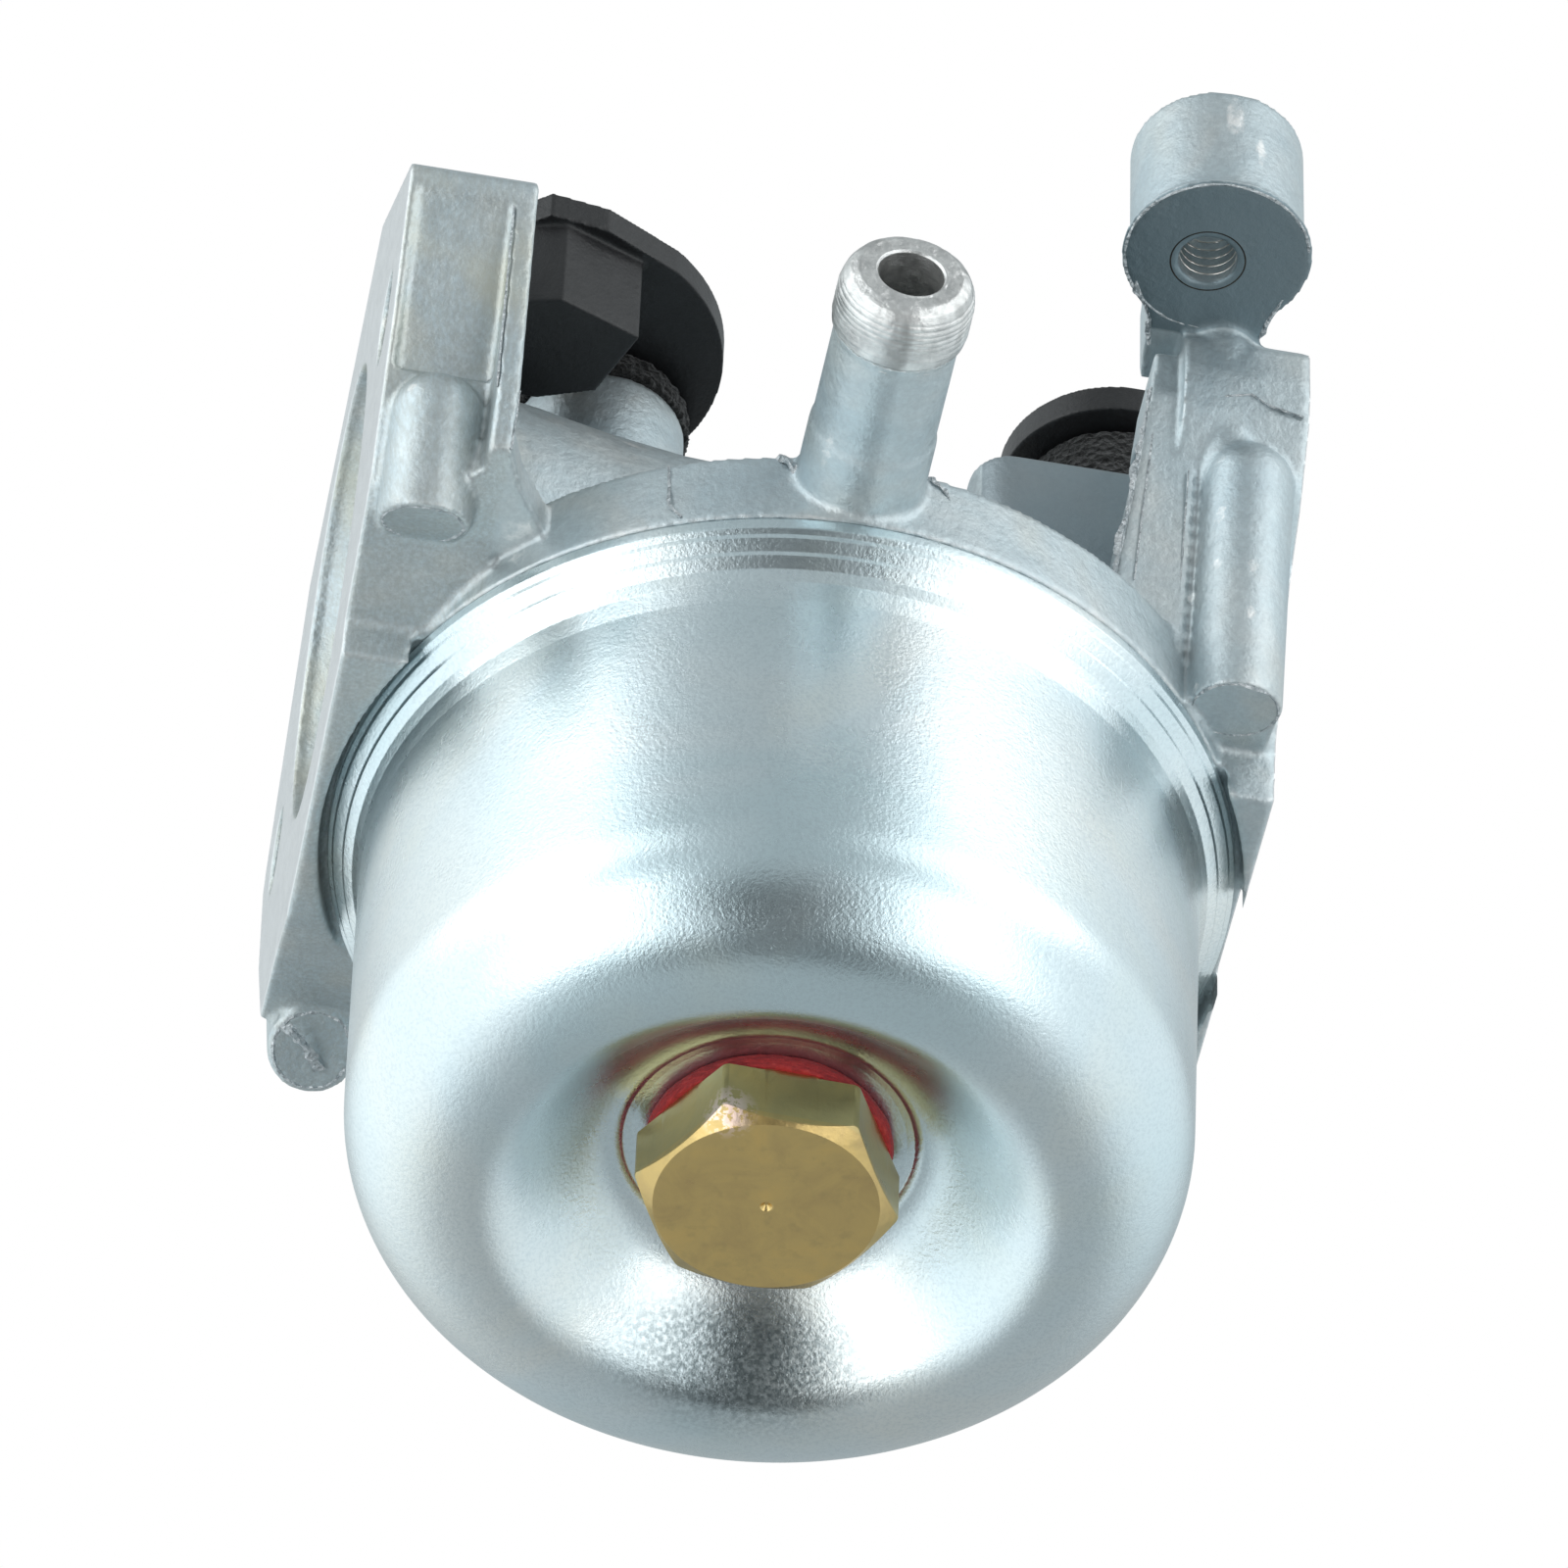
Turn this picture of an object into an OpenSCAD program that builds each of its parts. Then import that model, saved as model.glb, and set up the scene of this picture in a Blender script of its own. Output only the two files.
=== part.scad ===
// Small-engine float-bowl carburetor, built from its separate pieces.
// Working frame of the modules: the bowl axis is Z and the bowl rim is z = 0, with the throat along X.
// seated() moves every piece so that the origin is the centre of the engine bolt pattern.

/* [Float bowl] */
// Outer radius of the bowl rim
rim_r = 25.3; // [25:0.1:25.4]
// Outer radius of the bowl wall just under the rim
bowl_r = 23.35; // [23.2:0.05:23.5]
// Depth of the bowl from its rim to its lowest ring
bowl_depth = 28.3; // [28:0.1:30]
// Thickness of the drawn sheet
sheet_t = 0.8; // [0.6:0.05:0.9]
// Outer radius of the rounded shoulder at the foot of the wall
shoulder_r = 7; // [6:0.25:8]
// Height of the dished centre over the lowest ring
dish_h = 5.8; // [5:0.1:6]
// Size of the bowl bolt head across its flats
bolt_af = 12.7; // [12:0.1:13]
// Thickness of the bowl bolt head
bolt_head_h = 4; // [3:0.25:5]
// Thickness of the sealing washer under the bolt head
washer_t = 1; // [0.8:0.1:1.2]

/* [Throat] */
// Height of the throat axis over the bowl rim
throat_z = 16.7; // [16.5:0.1:17]
// Bore radius where the choke plate sits
choke_bore_r = 9.7; // [9.5:0.1:9.9]
// Bore radius at the narrowest point of the venturi
venturi_r = 7; // [6.5:0.1:7.2]
// Bore radius where the throttle plate sits
throttle_bore_r = 7.25; // [7:0.05:7.5]
// Bore radius at the mouth on the air side
mouth_r = 13; // [12.5:0.1:13.2]

/* [Flanges] */
// Distance of the engine face from the bowl axis
engine_face_x = 25.6; // [25:0.1:26]
// Distance of the air face from the bowl axis
air_face_x = 26.6; // [26:0.1:27]
// Thickness of both flanges
flange_t = 7.2; // [7:0.1:7.4]
// Distance between the two engine studs
engine_stud_gap = 31.75; // [31:0.05:32]
// Radius of the engine stud holes
engine_hole_r = 3.2; // [3:0.1:3.3]
// Distance between the two air cleaner screws
air_screw_gap = 41; // [40:0.5:42]
// Radius of the air cleaner screw holes
air_hole_r = 2.6; // [2.5:0.1:2.8]

/* [Fuel spigot] */
// Offset of the spigot along the throat
spigot_x = -0.3; // [-1:0.1:1]
// Height of the spigot axis over the bowl rim
spigot_z = 3.9; // [3.85:0.05:4]
// Distance of the spigot tip from the bowl axis
spigot_reach = 40; // [38:0.5:42]
// Radius of the machined hose land
hose_land_r = 3.75; // [3.7:0.05:3.8]
// Radius of the fuel bore
fuel_bore_r = 1.8; // [1.6:0.05:1.9]

/* [Bracket boss] */
// Position of the tapped boss along the throat
boss_x = 19.1; // [18.9:0.1:19.3]
// Distance of the tapped boss in front of the throat
boss_y = 27.5; // [27.3:0.1:27.8]
// Outer radius of the tapped boss
boss_r = 4.9; // [4.7:0.1:5]
// Radius of the tapped hole, at its thread crests
boss_hole_r = 1.65; // [1.6:0.05:1.75]
// Height of the underside of the tapped boss over the bowl rim
boss_z = 25; // [24.8:0.1:25.2]
// Length of the tapped boss
boss_h = 8.8; // [8.6:0.1:9.2]

/* [Choke] */
// Position of the choke shaft along the throat
choke_x = -11.8; // [-12:0.1:-11.6]
// Radius of the choke shaft
choke_shaft_r = 2.4; // [2.3:0.05:2.5]
// Radius of the choke plate
choke_plate_r = 9.4; // [9.2:0.05:9.45]

/* [Throttle] */
// Position of the throttle shaft along the throat
throttle_x = 18.7; // [18.5:0.1:18.8]
// Radius of the throttle shaft
throttle_shaft_r = 2.4; // [2.3:0.05:2.5]
// Radius of the throttle plate
throttle_plate_r = 7.1; // [6.9:0.05:7.1]
// Length of the throttle arm from the shaft to the link hole
throttle_arm = 11; // [9:0.25:11]

/* [Float and needle] */
// Outer radius of the ring float
float_r = 19; // [18:0.25:19.25]
// Radius of the hole through the ring float
float_hole_r = 8.5; // [8:0.25:9]
// Height of the ring float
float_h = 10; // [9:0.25:10]
// Angle that the float hangs down by when the bowl is empty
float_drop = 7; // [5:0.5:7]
// Distance of the float pin in front of the bowl axis
pin_y = 19; // [18.8:0.1:19.2]
// Depth of the float pin under the bowl rim
pin_z = 3.2; // [3.1:0.05:3.3]
// Distance of the inlet needle in front of the bowl axis
needle_y = 13; // [12.8:0.1:13.2]

/* [Hidden] */

$fn = 96;
round_fn = 48;                 // facet count of small round features
eps = 0.5;                     // overshoot of a cutting tool past a face
run_gap = 0.05;                // radial clearance of a running fit
face_gap = 0.3;                // space between a lever and its seal

casting_colour = [0.66, 0.70, 0.73];
bowl_colour = [0.74, 0.80, 0.84];
brass_colour = [0.62, 0.50, 0.24];
plastic_colour = [0.08, 0.08, 0.09];
foam_colour = [0.12, 0.12, 0.12];
steel_colour = [0.70, 0.70, 0.72];
rubber_colour = [0.10, 0.10, 0.10];
washer_colour = [0.72, 0.10, 0.10];
float_colour = [0.82, 0.80, 0.72];

deck_r = 25.4;                 // deck of the casting over the bowl
deck_h = 5;
ledge_z = 2;                   // underside of the ledges outside the deck
ledge_top = 4.4;
step_top = 9.4;                // top of the step between the deck and the air flange
shell_lap = 1;                 // how far the throat shell reaches into each end
pad_z = -2;                    // underside of the flange feet
seat_z = -bowl_depth + dish_h; // underside of the bowl where the washer seats
seat_r = 7.9;                  // flat round the hole of the bowl
washer_r = 7.4;
column_r = 5.5;                // centre column that the bowl bolt screws into
column_hole_r = 4;
column_hole_top = -15.2;
cross_hole_z = -13.4;          // fuel hole across the column, over the end of the bolt
cross_hole_r = 0.9;
jet_hole_r = 2.2;
ring_groove_r = 24;            // mid radius of the gasket groove
ring_groove_w = 1.8;
ring_groove_depth = 1.6;
gasket_wire_r = 0.8;
choke_boss_r = 5;
choke_boss_top = 33.7;
throttle_boss_r = 5.7;
throttle_boss_top = 31;
lever_z = 35.8;                // underside of both levers
lever_t = 2;
hub_top = 39.5;
block_top = 25;                // throttle block
block_x = 8.6;
block_w = 22;
needle_seat_r = 2.6;
needle_post_r = 4.2;           // boss round the needle seat
needle_post_z = -2.2;
needle_lift = 0.73;            // travel of the needle between dropped and seated
float_top = -6;
shaft_foot = 3.3;              // lower end of both shafts
pillar_r = 2.6;                // ejector pillars on the flanges
pin_ear_x = 6.3;               // mid plane of each ear of the float pin
pin_ear_t = 2;
pin_ear_r = 1.6;
pin_r = 0.8;
pin_reach = 8.2;               // half length of the float pin
screw_gap = 6;                 // distance between the two screws of a plate
screw_hole_r = 0.8;
idle_jet_x = 12.8;
idle_jet_y = 9.1;
idle_jet_hole_r = 1.25;
idle_jet_foot = 11;
idle_jet_head_r = 1.8;
idle_seal_t = 0.6;
plug_x = 12.6;                 // plug over the idle chamber
plug_y = -4.6;
plug_r = 3.2;
plug_depth = 0.9;
ball_x = 15.8;                 // balls that close the cross drillings
ball_r = 1.3;
ball_depth = 2.7;
ball_heights = [8.2, 21.5];

// Points on an arc about (cx, cy), from angle a0 to a1
function arc(cx, cy, r, a0, a1, n) =
    [for (i = [0:n]) let (a = a0 + (a1 - a0) * i / n) [cx + r * cos(a), cy + r * sin(a)]];

// Points of the dished centre of the bowl, from the lowest ring up to the seat
function dish(r0, z0, r1, rise, n) =
    [for (i = [1:n]) let (t = i / n) [r0 + (r1 - r0) * t, z0 + rise * (1 - cos(180 * t)) / 2]];

module seated() {
    translate([-engine_face_x, 0, -throat_z]) children();
}

// Stands children, drawn along +Z, along +X from the plane x on the throat axis
module along_throat(x) {
    translate([x, 0, throat_z]) rotate([0, 90, 0]) children();
}

// Extrudes a (Y, Z) outline along +X from x
module slab_x(x, t) {
    translate([x, 0, 0]) rotate([90, 0, 90]) linear_extrude(t) children();
}

// Extrudes an (X, Y) outline up from z
module slab_z(z, t) {
    translate([0, 0, z]) linear_extrude(t) children();
}

module post(x, y, r, z0, z1) {
    translate([x, y, z0]) cylinder(r = r, h = z1 - z0);
}

// Cylinder pointing to the front, from distance y0 to y1 in front of the bowl axis
module front_rod(r, y0, y1) {
    translate([spigot_x, -y0, spigot_z]) rotate([90, 0, 0]) cylinder(r = r, h = y1 - y0);
}

/* ---------- casting ---------- */

module throat_shell() {
    end = block_x + air_face_x - flange_t + 2 * shell_lap;
    along_throat(-air_face_x + flange_t - shell_lap) rotate_extrude() polygon([
        [0, 0], [13, 0], [13, shell_lap], [12.4, 2], [12.1, 4],
        [11.3, 8.2], [10.7, 12.7], [10.5, 18], [10.5, end], [0, end]]);
}

module throat_bore() {
    inlet = air_face_x + choke_x;
    along_throat(-air_face_x) rotate_extrude() polygon([
        [0, -eps], [mouth_r, -eps], [mouth_r, 0.6], [12.1, 2.4], [11.1, 4.4], [10.2, 5.6],
        [choke_bore_r, 6.6], [choke_bore_r, inlet + 5.2], [9.1, inlet + 7.2],
        [7.9, inlet + 9], [venturi_r, inlet + 11], [venturi_r, inlet + 14],
        [throttle_bore_r, inlet + 21.5], [throttle_bore_r, air_face_x + engine_face_x + eps],
        [0, air_face_x + engine_face_x + eps]]);
}

// Air side flange: a plate with sloping flanks, a foot and a cleared front
module air_flange() {
    slab_x(-air_face_x, flange_t) polygon([
        [-8, pad_z], [-12, pad_z], [-12.6, 0.2], [-20.5, 2.6], [-25.7, 11], [-28.6, 18.6],
        [-29, 19.8], [-28.4, 20.8], [-14, 33], [14, 33], [26.6, 21.2], [27.2, 19.8],
        [25, 11], [20.5, 2.6], [12.6, 0.2], [8, pad_z]]);
}

// Upright rib along the inner edge of a flank of the air flange
module air_rib(side) {
    rib_t = 1.3;
    slab_x(-air_face_x + flange_t - rib_t, rib_t) polygon([
        for (p = [[side < 0 ? 28.6 : 27.1, 18.6], [side < 0 ? 26.9 : 25.6, 4.6], [24.9, ledge_z],
                  [20, ledge_z], [20, 18.6]])
            [side * p[0], p[1]]]);
}

// Shallow wedge-shaped recess in a flank of the air flange
module flank_pocket(side) {
    shift = side < 0 ? 0 : -1.1;
    slab_x(-air_face_x + 0.45, 5.5) polygon([
        for (p = [[28.35, 18.7], [25.2, 11], [23.6, 8.6], [26, 7.6], [31, 17], [31, 18.7]])
            [side * (p[0] + shift), p[1]]]);
}

// Ejector pillar on a flank of the air flange
module air_pillar(side) {
    foot_y = side < 0 ? 19.8 : 20.6;
    translate([-23.4, side * foot_y, 0.8]) rotate([-side * 26, 0, 0]) {
        cylinder(r = pillar_r, h = 6.2);
        translate([0, 0, 6.2]) sphere(r = pillar_r, $fn = round_fn);
    }
}

// Engine side flange
module engine_flange() {
    half = [[11.8, pad_z], [12.4, 2.4], [13.8, 4.5], [16.2, 11], [19.2, 14.2], [21.8, 18.6],
            [22.3, 21.5], [22.3, 23.9], [21.6, boss_z], [15, 30.5]];
    slab_x(engine_face_x - flange_t, flange_t) polygon(concat(
        [for (p = half) [-p[0], p[1]]],
        [for (i = [len(half) - 1:-1:0]) half[i]]));
}

// Leaning ejector pillar with a rounded head on the flank of the engine flange, and the wall behind it
module engine_pillar(side) {
    lean = 13;
    pillar_h = 15.2;
    wall = 5;
    translate([22.5, side * 16, 0.3]) rotate([-side * lean, 0, 0]) {
        cylinder(r = pillar_r, h = pillar_h);
        translate([0, 0, pillar_h]) sphere(r = pillar_r, $fn = round_fn);
        translate([0.1 - pillar_r, side < 0 ? 0 : -wall, 0.1]) cube([2 * pillar_r - 0.2, wall, pillar_h]);
    }
}

// Web in line with the flank of the engine flange, with a slanting inner edge
module deck_gusset(side) {
    intersection() {
        slab_x(14, 5.4) polygon([
            for (p = [[16.2, 1.5], [16.6, 3], [21.3, 20], [21.3, 23.6], [16, 23.6], [12, 3], [12, 1.5]])
                [side * p[0], p[1]]]);
        translate([0, 30, 0]) rotate([90, 0, 0]) linear_extrude(60) polygon([
            [14.4, 0], [15.1, 6.6], [16.63, 20.8], [16.9, 24], [20, 24], [20, 0]]);
    }
}

// Ledge between the deck and the air flange
module ledge() {
    front = [[-air_face_x + 2, 19], [-air_face_x + flange_t, 24.8], [-18.5, 22.3], [-16.4, 19]];
    step_w = 27;
    slab_z(ledge_z, ledge_top - ledge_z) polygon(concat(
        [for (p = front) [p[0], -p[1]]],
        [for (i = [len(front) - 1:-1:0]) front[i]]));
    slab_z(ledge_z, step_top - ledge_z) translate([-21, -step_w / 2]) square([13, step_w]);
}

module throttle_block() {
    half = block_w / 2;
    corner = 2.4;
    slab_z(deck_h - 1, block_top - deck_h + 1) polygon(concat(
        [[engine_face_x - flange_t + 1, -half]],
        [[engine_face_x - flange_t + 1, half]],
        arc(block_x + corner, half - corner, corner, 90, 180, 6),
        arc(block_x + corner, corner - half, corner, 180, 270, 6)));
}

module spigot() {
    nose = 4;
    front_rod(3.55, 10, 29);
    front_rod(3.43, 28, spigot_reach - nose);
    translate([spigot_x, -spigot_reach, spigot_z]) rotate([-90, 0, 0]) rotate_extrude() polygon([
        [0, 0], [2.8, 0], [3.4, 0.4], [3.65, 0.9], [hose_land_r, 1.4], [hose_land_r, 3.7],
        [3.5, nose + 0.1], [0, nose + 0.1]]);
}

// Tapped boss, the flash round its foot and the neck that holds it
module tapped_boss() {
    flash = 0.45;
    post(boss_x, -boss_y, boss_r, boss_z, boss_z + boss_h);
    post(boss_x, -boss_y, boss_r + flash, boss_z, boss_z + flash);
    slab_z(boss_z, 5.4) polygon([
        [14.9, -24.8], [16.2, -22.3], [16.6, -18], [23.4, -18], [22.7, -22], [23.5, -25.4], [boss_x, -boss_y]]);
    translate([21.9, -18.3, 12]) rotate([10, -5, 0]) cylinder(r = 2.1, h = boss_z - 11.5);
}

// Two ears under the deck that hold the float pin
module pin_ears() {
    for (side = [-1, 1])
        translate([side * pin_ear_x - pin_ear_t / 2, -pin_y - pin_ear_r, -pin_z - pin_ear_r])
            cube([pin_ear_t, 2 * pin_ear_r, pin_z + pin_ear_r + eps]);
}

module casting_solid() {
    post(0, 0, deck_r, 0, deck_h);
    throat_shell();
    difference() {
        union() {
            air_flange();
            engine_flange();
        }
        post(0, 0, rim_r + 0.5, pad_z - eps, 0);
    }
    for (side = [-1, 1]) {
        air_rib(side);
        air_pillar(side);
        engine_pillar(side);
        deck_gusset(side);
    }
    ledge();
    throttle_block();
    post(choke_x, 0, choke_boss_r, throat_z, choke_boss_top);
    post(throttle_x, 0, throttle_boss_r, throat_z, throttle_boss_top);
    spigot();
    tapped_boss();
    post(0, 0, column_r, seat_z + sheet_t, deck_h + 3);
    post(spigot_x, -needle_y, needle_post_r, needle_post_z, 1);
    pin_ears();
}

module casting_holes() {
    throat_bore();
    post(choke_x, 0, choke_shaft_r + run_gap, shaft_foot - face_gap, choke_boss_top + eps);
    post(throttle_x, 0, throttle_shaft_r + run_gap, shaft_foot - face_gap, throttle_boss_top + eps);
    for (side = [-1, 1]) {
        translate([0, side * engine_stud_gap / 2, 0])
            along_throat(engine_face_x - flange_t - 8) cylinder(r = engine_hole_r, h = flange_t + 9);
        translate([0, side * air_screw_gap / 2, 0])
            along_throat(-air_face_x - 1) cylinder(r = air_hole_r, h = flange_t + 5);
        flank_pocket(side);
    }
    front_rod(fuel_bore_r, 11.2, spigot_reach + 1);
    post(boss_x - 0.45, 0.4 - boss_y, boss_hole_r, boss_z - 1, boss_z + boss_h + 1);
    post(0, 0, column_hole_r, seat_z, column_hole_top);
    post(0, 0, jet_hole_r, column_hole_top - eps, throat_z);
    translate([-column_r - 1, 0, cross_hole_z])
        rotate([0, 90, 0]) cylinder(r = cross_hole_r, h = 2 * column_r + 2);
    post(spigot_x, -needle_y, needle_seat_r, -3, spigot_z);
    translate([-1.5 * pin_ear_x, -pin_y, -pin_z])
        rotate([0, 90, 0]) cylinder(r = pin_r + 0.03, h = 3 * pin_ear_x);
    difference() {
        post(0, 0, ring_groove_r + ring_groove_w / 2, -eps, ring_groove_depth);
        post(0, 0, ring_groove_r - ring_groove_w / 2, -1, ring_groove_depth + eps);
    }
    post(idle_jet_x, idle_jet_y, idle_jet_hole_r, idle_jet_foot - face_gap, block_top + eps);
    post(plug_x, plug_y, plug_r, block_top - plug_depth, block_top + eps);
    for (z = ball_heights) translate([ball_x, block_w / 2 - ball_depth, z])
        rotate([-90, 0, 0]) cylinder(r = ball_r, h = ball_depth + 1, $fn = round_fn);
}

module body_casting() {
    color(casting_colour) seated() difference() {
        casting_solid();
        casting_holes();
    }
}

/* ---------- bowl and what holds it ---------- */

module float_bowl() {
    foot_r = bowl_r - 0.25;
    shoulder_z = shoulder_r - bowl_depth;
    ring_r = foot_r - shoulder_r;
    hole_r = column_hole_r + 0.2;
    lap = 0.5;                 // how far the dish laps the seat
    rim_foot = -3.8;
    inner_dish = dish(ring_r, sheet_t - bowl_depth, seat_r, dish_h - lap, 12);
    outer = concat(
        [[rim_r, 0], [rim_r, -0.9], [rim_r - 0.3, -1.3], [rim_r - 0.9, -1.5], [rim_r - 0.9, -2.1],
         [rim_r - 1.3, -2.4], [rim_r - 1.3, -3], [bowl_r, rim_foot]],
        arc(ring_r, shoulder_z, shoulder_r, 0, -90, 14),
        dish(ring_r, -bowl_depth, seat_r + lap, dish_h - lap, 12),
        [[seat_r, seat_z], [hole_r, seat_z]]);
    inner = concat(
        [[hole_r, seat_z + sheet_t], [seat_r - 0.3, seat_z + sheet_t]],
        [for (i = [len(inner_dish) - 1:-1:0]) inner_dish[i]],
        arc(ring_r, shoulder_z, shoulder_r - sheet_t, -90, 0, 14),
        [[bowl_r - sheet_t, rim_foot], [bowl_r - sheet_t, 0]]);
    color(bowl_colour) seated() rotate_extrude() polygon(concat(outer, inner));
}

module bowl_gasket() {
    color(rubber_colour) seated() translate([0, 0, gasket_wire_r])
        rotate_extrude() translate([ring_groove_r, 0]) circle(r = gasket_wire_r, $fn = 32);
}

module bowl_bolt() {
    corner_r = bolt_af / sqrt(3);
    head_z = seat_z - washer_t;
    chamfer = 0.7;
    color(brass_colour) seated() {
        intersection() {
            translate([0, 0, head_z - bolt_head_h]) rotate([0, 0, 1.6])
                cylinder(r = corner_r, h = bolt_head_h, $fn = 6);
            translate([0, 0, head_z - bolt_head_h]) rotate_extrude() polygon([
                [0, 0], [corner_r - chamfer, 0], [corner_r + 0.1, 0.5],
                [corner_r + 0.1, bolt_head_h], [0, bolt_head_h]]);
        }
        post(0, 0, column_hole_r - 0.08, head_z, column_hole_top - face_gap);
    }
}

module bolt_washer() {
    color(washer_colour) seated() difference() {
        post(0, 0, washer_r, seat_z - washer_t, seat_z);
        post(0, 0, column_hole_r, seat_z - 2 * washer_t, seat_z + washer_t);
    }
}

/* ---------- float and inlet needle ---------- */

// Turns children about the float pin, from level down to the empty position
module dropped() {
    translate([0, -pin_y, -pin_z]) rotate([-float_drop, 0, 0]) translate([0, pin_y, pin_z]) children();
}

module float() {
    color(float_colour) seated() dropped() difference() {
        union() {
            post(0, 0, float_r, float_top - float_h, float_top);
            translate([-4.6, -pin_y, -pin_z]) rotate([0, 90, 0]) cylinder(r = 1.6, h = 9.2);
            translate([-4.6, -pin_y - 1.2, float_top - 1]) cube([9.2, 4, 1 - float_top - pin_z]);
            translate([-3, -needle_y - 2.2, float_top - 1]) cube([6, 4, 1.5]);
        }
        post(0, 0, float_hole_r, float_top - float_h - 1, float_top + 1);
        translate([-6, -pin_y, -pin_z]) rotate([0, 90, 0]) cylinder(r = 0.86, h = 12);
        translate([-1.6, 1.4 - needle_y, float_top - 3]) cube([3.2, 2.2, 4]);
    }
}

module float_pin() {
    color(steel_colour) seated() translate([-pin_reach, -pin_y, -pin_z])
        rotate([0, 90, 0]) cylinder(r = pin_r, h = 2 * pin_reach);
}

module inlet_needle() {
    tip = -0.6;
    color(steel_colour) seated() translate([spigot_x, -needle_y, -needle_lift]) rotate_extrude() polygon([
        [0, tip], [0.7, tip], [1.5, tip - 1.5], [1.5, -3.6], [1.1, -3.7], [1.1, -4.3],
        [1.5, -4.4], [1.5, -5], [0, -5]]);
}

module needle_clip() {
    color(steel_colour) seated() translate([spigot_x, -needle_y, -needle_lift]) {
        difference() {
            union() {
                post(0, 0, 1.9, -4.2, -3.8);
                translate([-0.6, 0, -4.2]) cube([1.2, 2.6, 0.4]);
            }
            post(0, 0, 1.15, -5, -3);
        }
        translate([-0.6, 2.2, -7.2]) cube([1.2, 0.4, 3.4]);
    }
}

module needle_seat() {
    color(brass_colour) seated() difference() {
        post(spigot_x, -needle_y, needle_seat_r - 0.01, -1.3, 1.7);
        post(spigot_x, -needle_y, 1.15, -2, 2);
    }
}

/* ---------- jets and plugs ---------- */

module main_jet() {
    color(brass_colour) seated() difference() {
        post(0, 0, jet_hole_r - 0.02, -12.3, -10);
        post(0, 0, 0.4, -13, -9);
        translate([-3, -0.3, -12.8]) cube([6, 0.6, 1]);
    }
}

module main_nozzle() {
    color(brass_colour) seated() difference() {
        post(0, 0, jet_hole_r - 0.02, -9.9, throat_z - venturi_r + 2.4);
        post(0, 0, 1.1, -11, throat_z);
        for (z = [-7:3:2]) translate([-3, 0, z]) rotate([0, 90, 0]) cylinder(r = 0.4, h = 6, $fn = round_fn);
    }
}

module idle_jet() {
    color(brass_colour) seated() difference() {
        union() {
            post(idle_jet_x, idle_jet_y, idle_jet_hole_r - run_gap, idle_jet_foot, block_top + 1);
            post(idle_jet_x, idle_jet_y, idle_jet_head_r, block_top + idle_seal_t, block_top + 1.8);
        }
        post(idle_jet_x, idle_jet_y, 0.4, idle_jet_foot - 1, block_top);
        translate([idle_jet_x - 3, idle_jet_y - 0.3, block_top + 1.1]) cube([6, 0.6, 1]);
    }
}

module idle_jet_seal() {
    color(rubber_colour) seated() difference() {
        post(idle_jet_x, idle_jet_y, idle_jet_head_r, block_top, block_top + idle_seal_t);
        post(idle_jet_x, idle_jet_y, idle_jet_hole_r, block_top - 1, block_top + 1);
    }
}

module idle_chamber_plug() {
    color(steel_colour) seated() post(plug_x, plug_y, plug_r - 0.02, block_top - plug_depth, block_top - 0.2);
}

module passage_balls() {
    color(steel_colour) seated() for (z = ball_heights)
        translate([ball_x, block_w / 2 - ball_r, z]) sphere(r = ball_r - 0.02, $fn = round_fn);
}

/* ---------- choke ---------- */

// Round shaft with one side milled flat where a plate of radius plate_r sits on it
module flatted_shaft(x, r, plate_r, turn) {
    difference() {
        post(x, 0, r, shaft_foot, lever_z + lever_t + 1);
        translate([x, 0, throat_z]) rotate([0, 0, turn])
            translate([-r - 1, 0, -plate_r - face_gap]) cube([2 * r + 2, r + 1, 2 * (plate_r + face_gap)]);
    }
}

// Round plate that lies on the flat of its shaft
module butterfly(x, plate_r, t, turn) {
    translate([x, 0, throat_z]) rotate([0, 0, turn]) rotate([-90, 0, 0]) difference() {
        cylinder(r = plate_r, h = t);
        for (side = [-1, 1])
            translate([0, side * screw_gap / 2, -1]) cylinder(r = screw_hole_r, h = t + 2, $fn = round_fn);
    }
}

// Two round-headed screws through a plate into its shaft
module plate_screws(x, t, turn) {
    translate([x, 0, throat_z]) rotate([0, 0, turn]) rotate([-90, 0, 0])
        for (side = [-1, 1]) translate([0, side * screw_gap / 2, 0]) difference() {
            union() {
                cylinder(r = screw_hole_r - run_gap, h = t, $fn = round_fn);
                translate([0, 0, t]) cylinder(r = 1.4, h = 0.9, $fn = round_fn);
            }
            translate([-2, -0.2, t + 0.5]) cube([4, 0.4, 1]);
        }
}

// Moulded lever seated on the end of a shaft
module lever_hub(x, r, shaft_r) {
    difference() {
        union() {
            children();
            post(x, 0, r, lever_z, hub_top);
        }
        post(x, 0, shaft_r + 0.01, lever_z - 1, lever_z + lever_t + 1);
    }
}

module choke_shaft() {
    color(plastic_colour) seated() flatted_shaft(choke_x, choke_shaft_r, choke_plate_r, 0);
}

module choke_lever() {
    left = -18.6;
    fan_x = -14.8;
    fan_y = -3.8;
    fan_r = 9.5;
    block_z = 29;
    color(plastic_colour) seated() lever_hub(choke_x, 4.4, choke_shaft_r) {
        slab_z(lever_z, lever_t) polygon(concat(
            [[left, 1.5], [left, -13], [-17, -14.2], [-13.6, -13.7]],
            arc(fan_x, fan_y, fan_r, -54, 58, 40),
            [[-14.6, 5.2]]));
        slab_z(block_z, lever_z - block_z + eps) polygon([
            [left, -13], [-16, -13.7], [-11.2, -11.8], [-13, -7.4], [-16.2, -6.2], [left, -6.2]]);
    }
}

module choke_plate() {
    color(steel_colour) seated() butterfly(choke_x, choke_plate_r, 0.9, 0);
}

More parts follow.
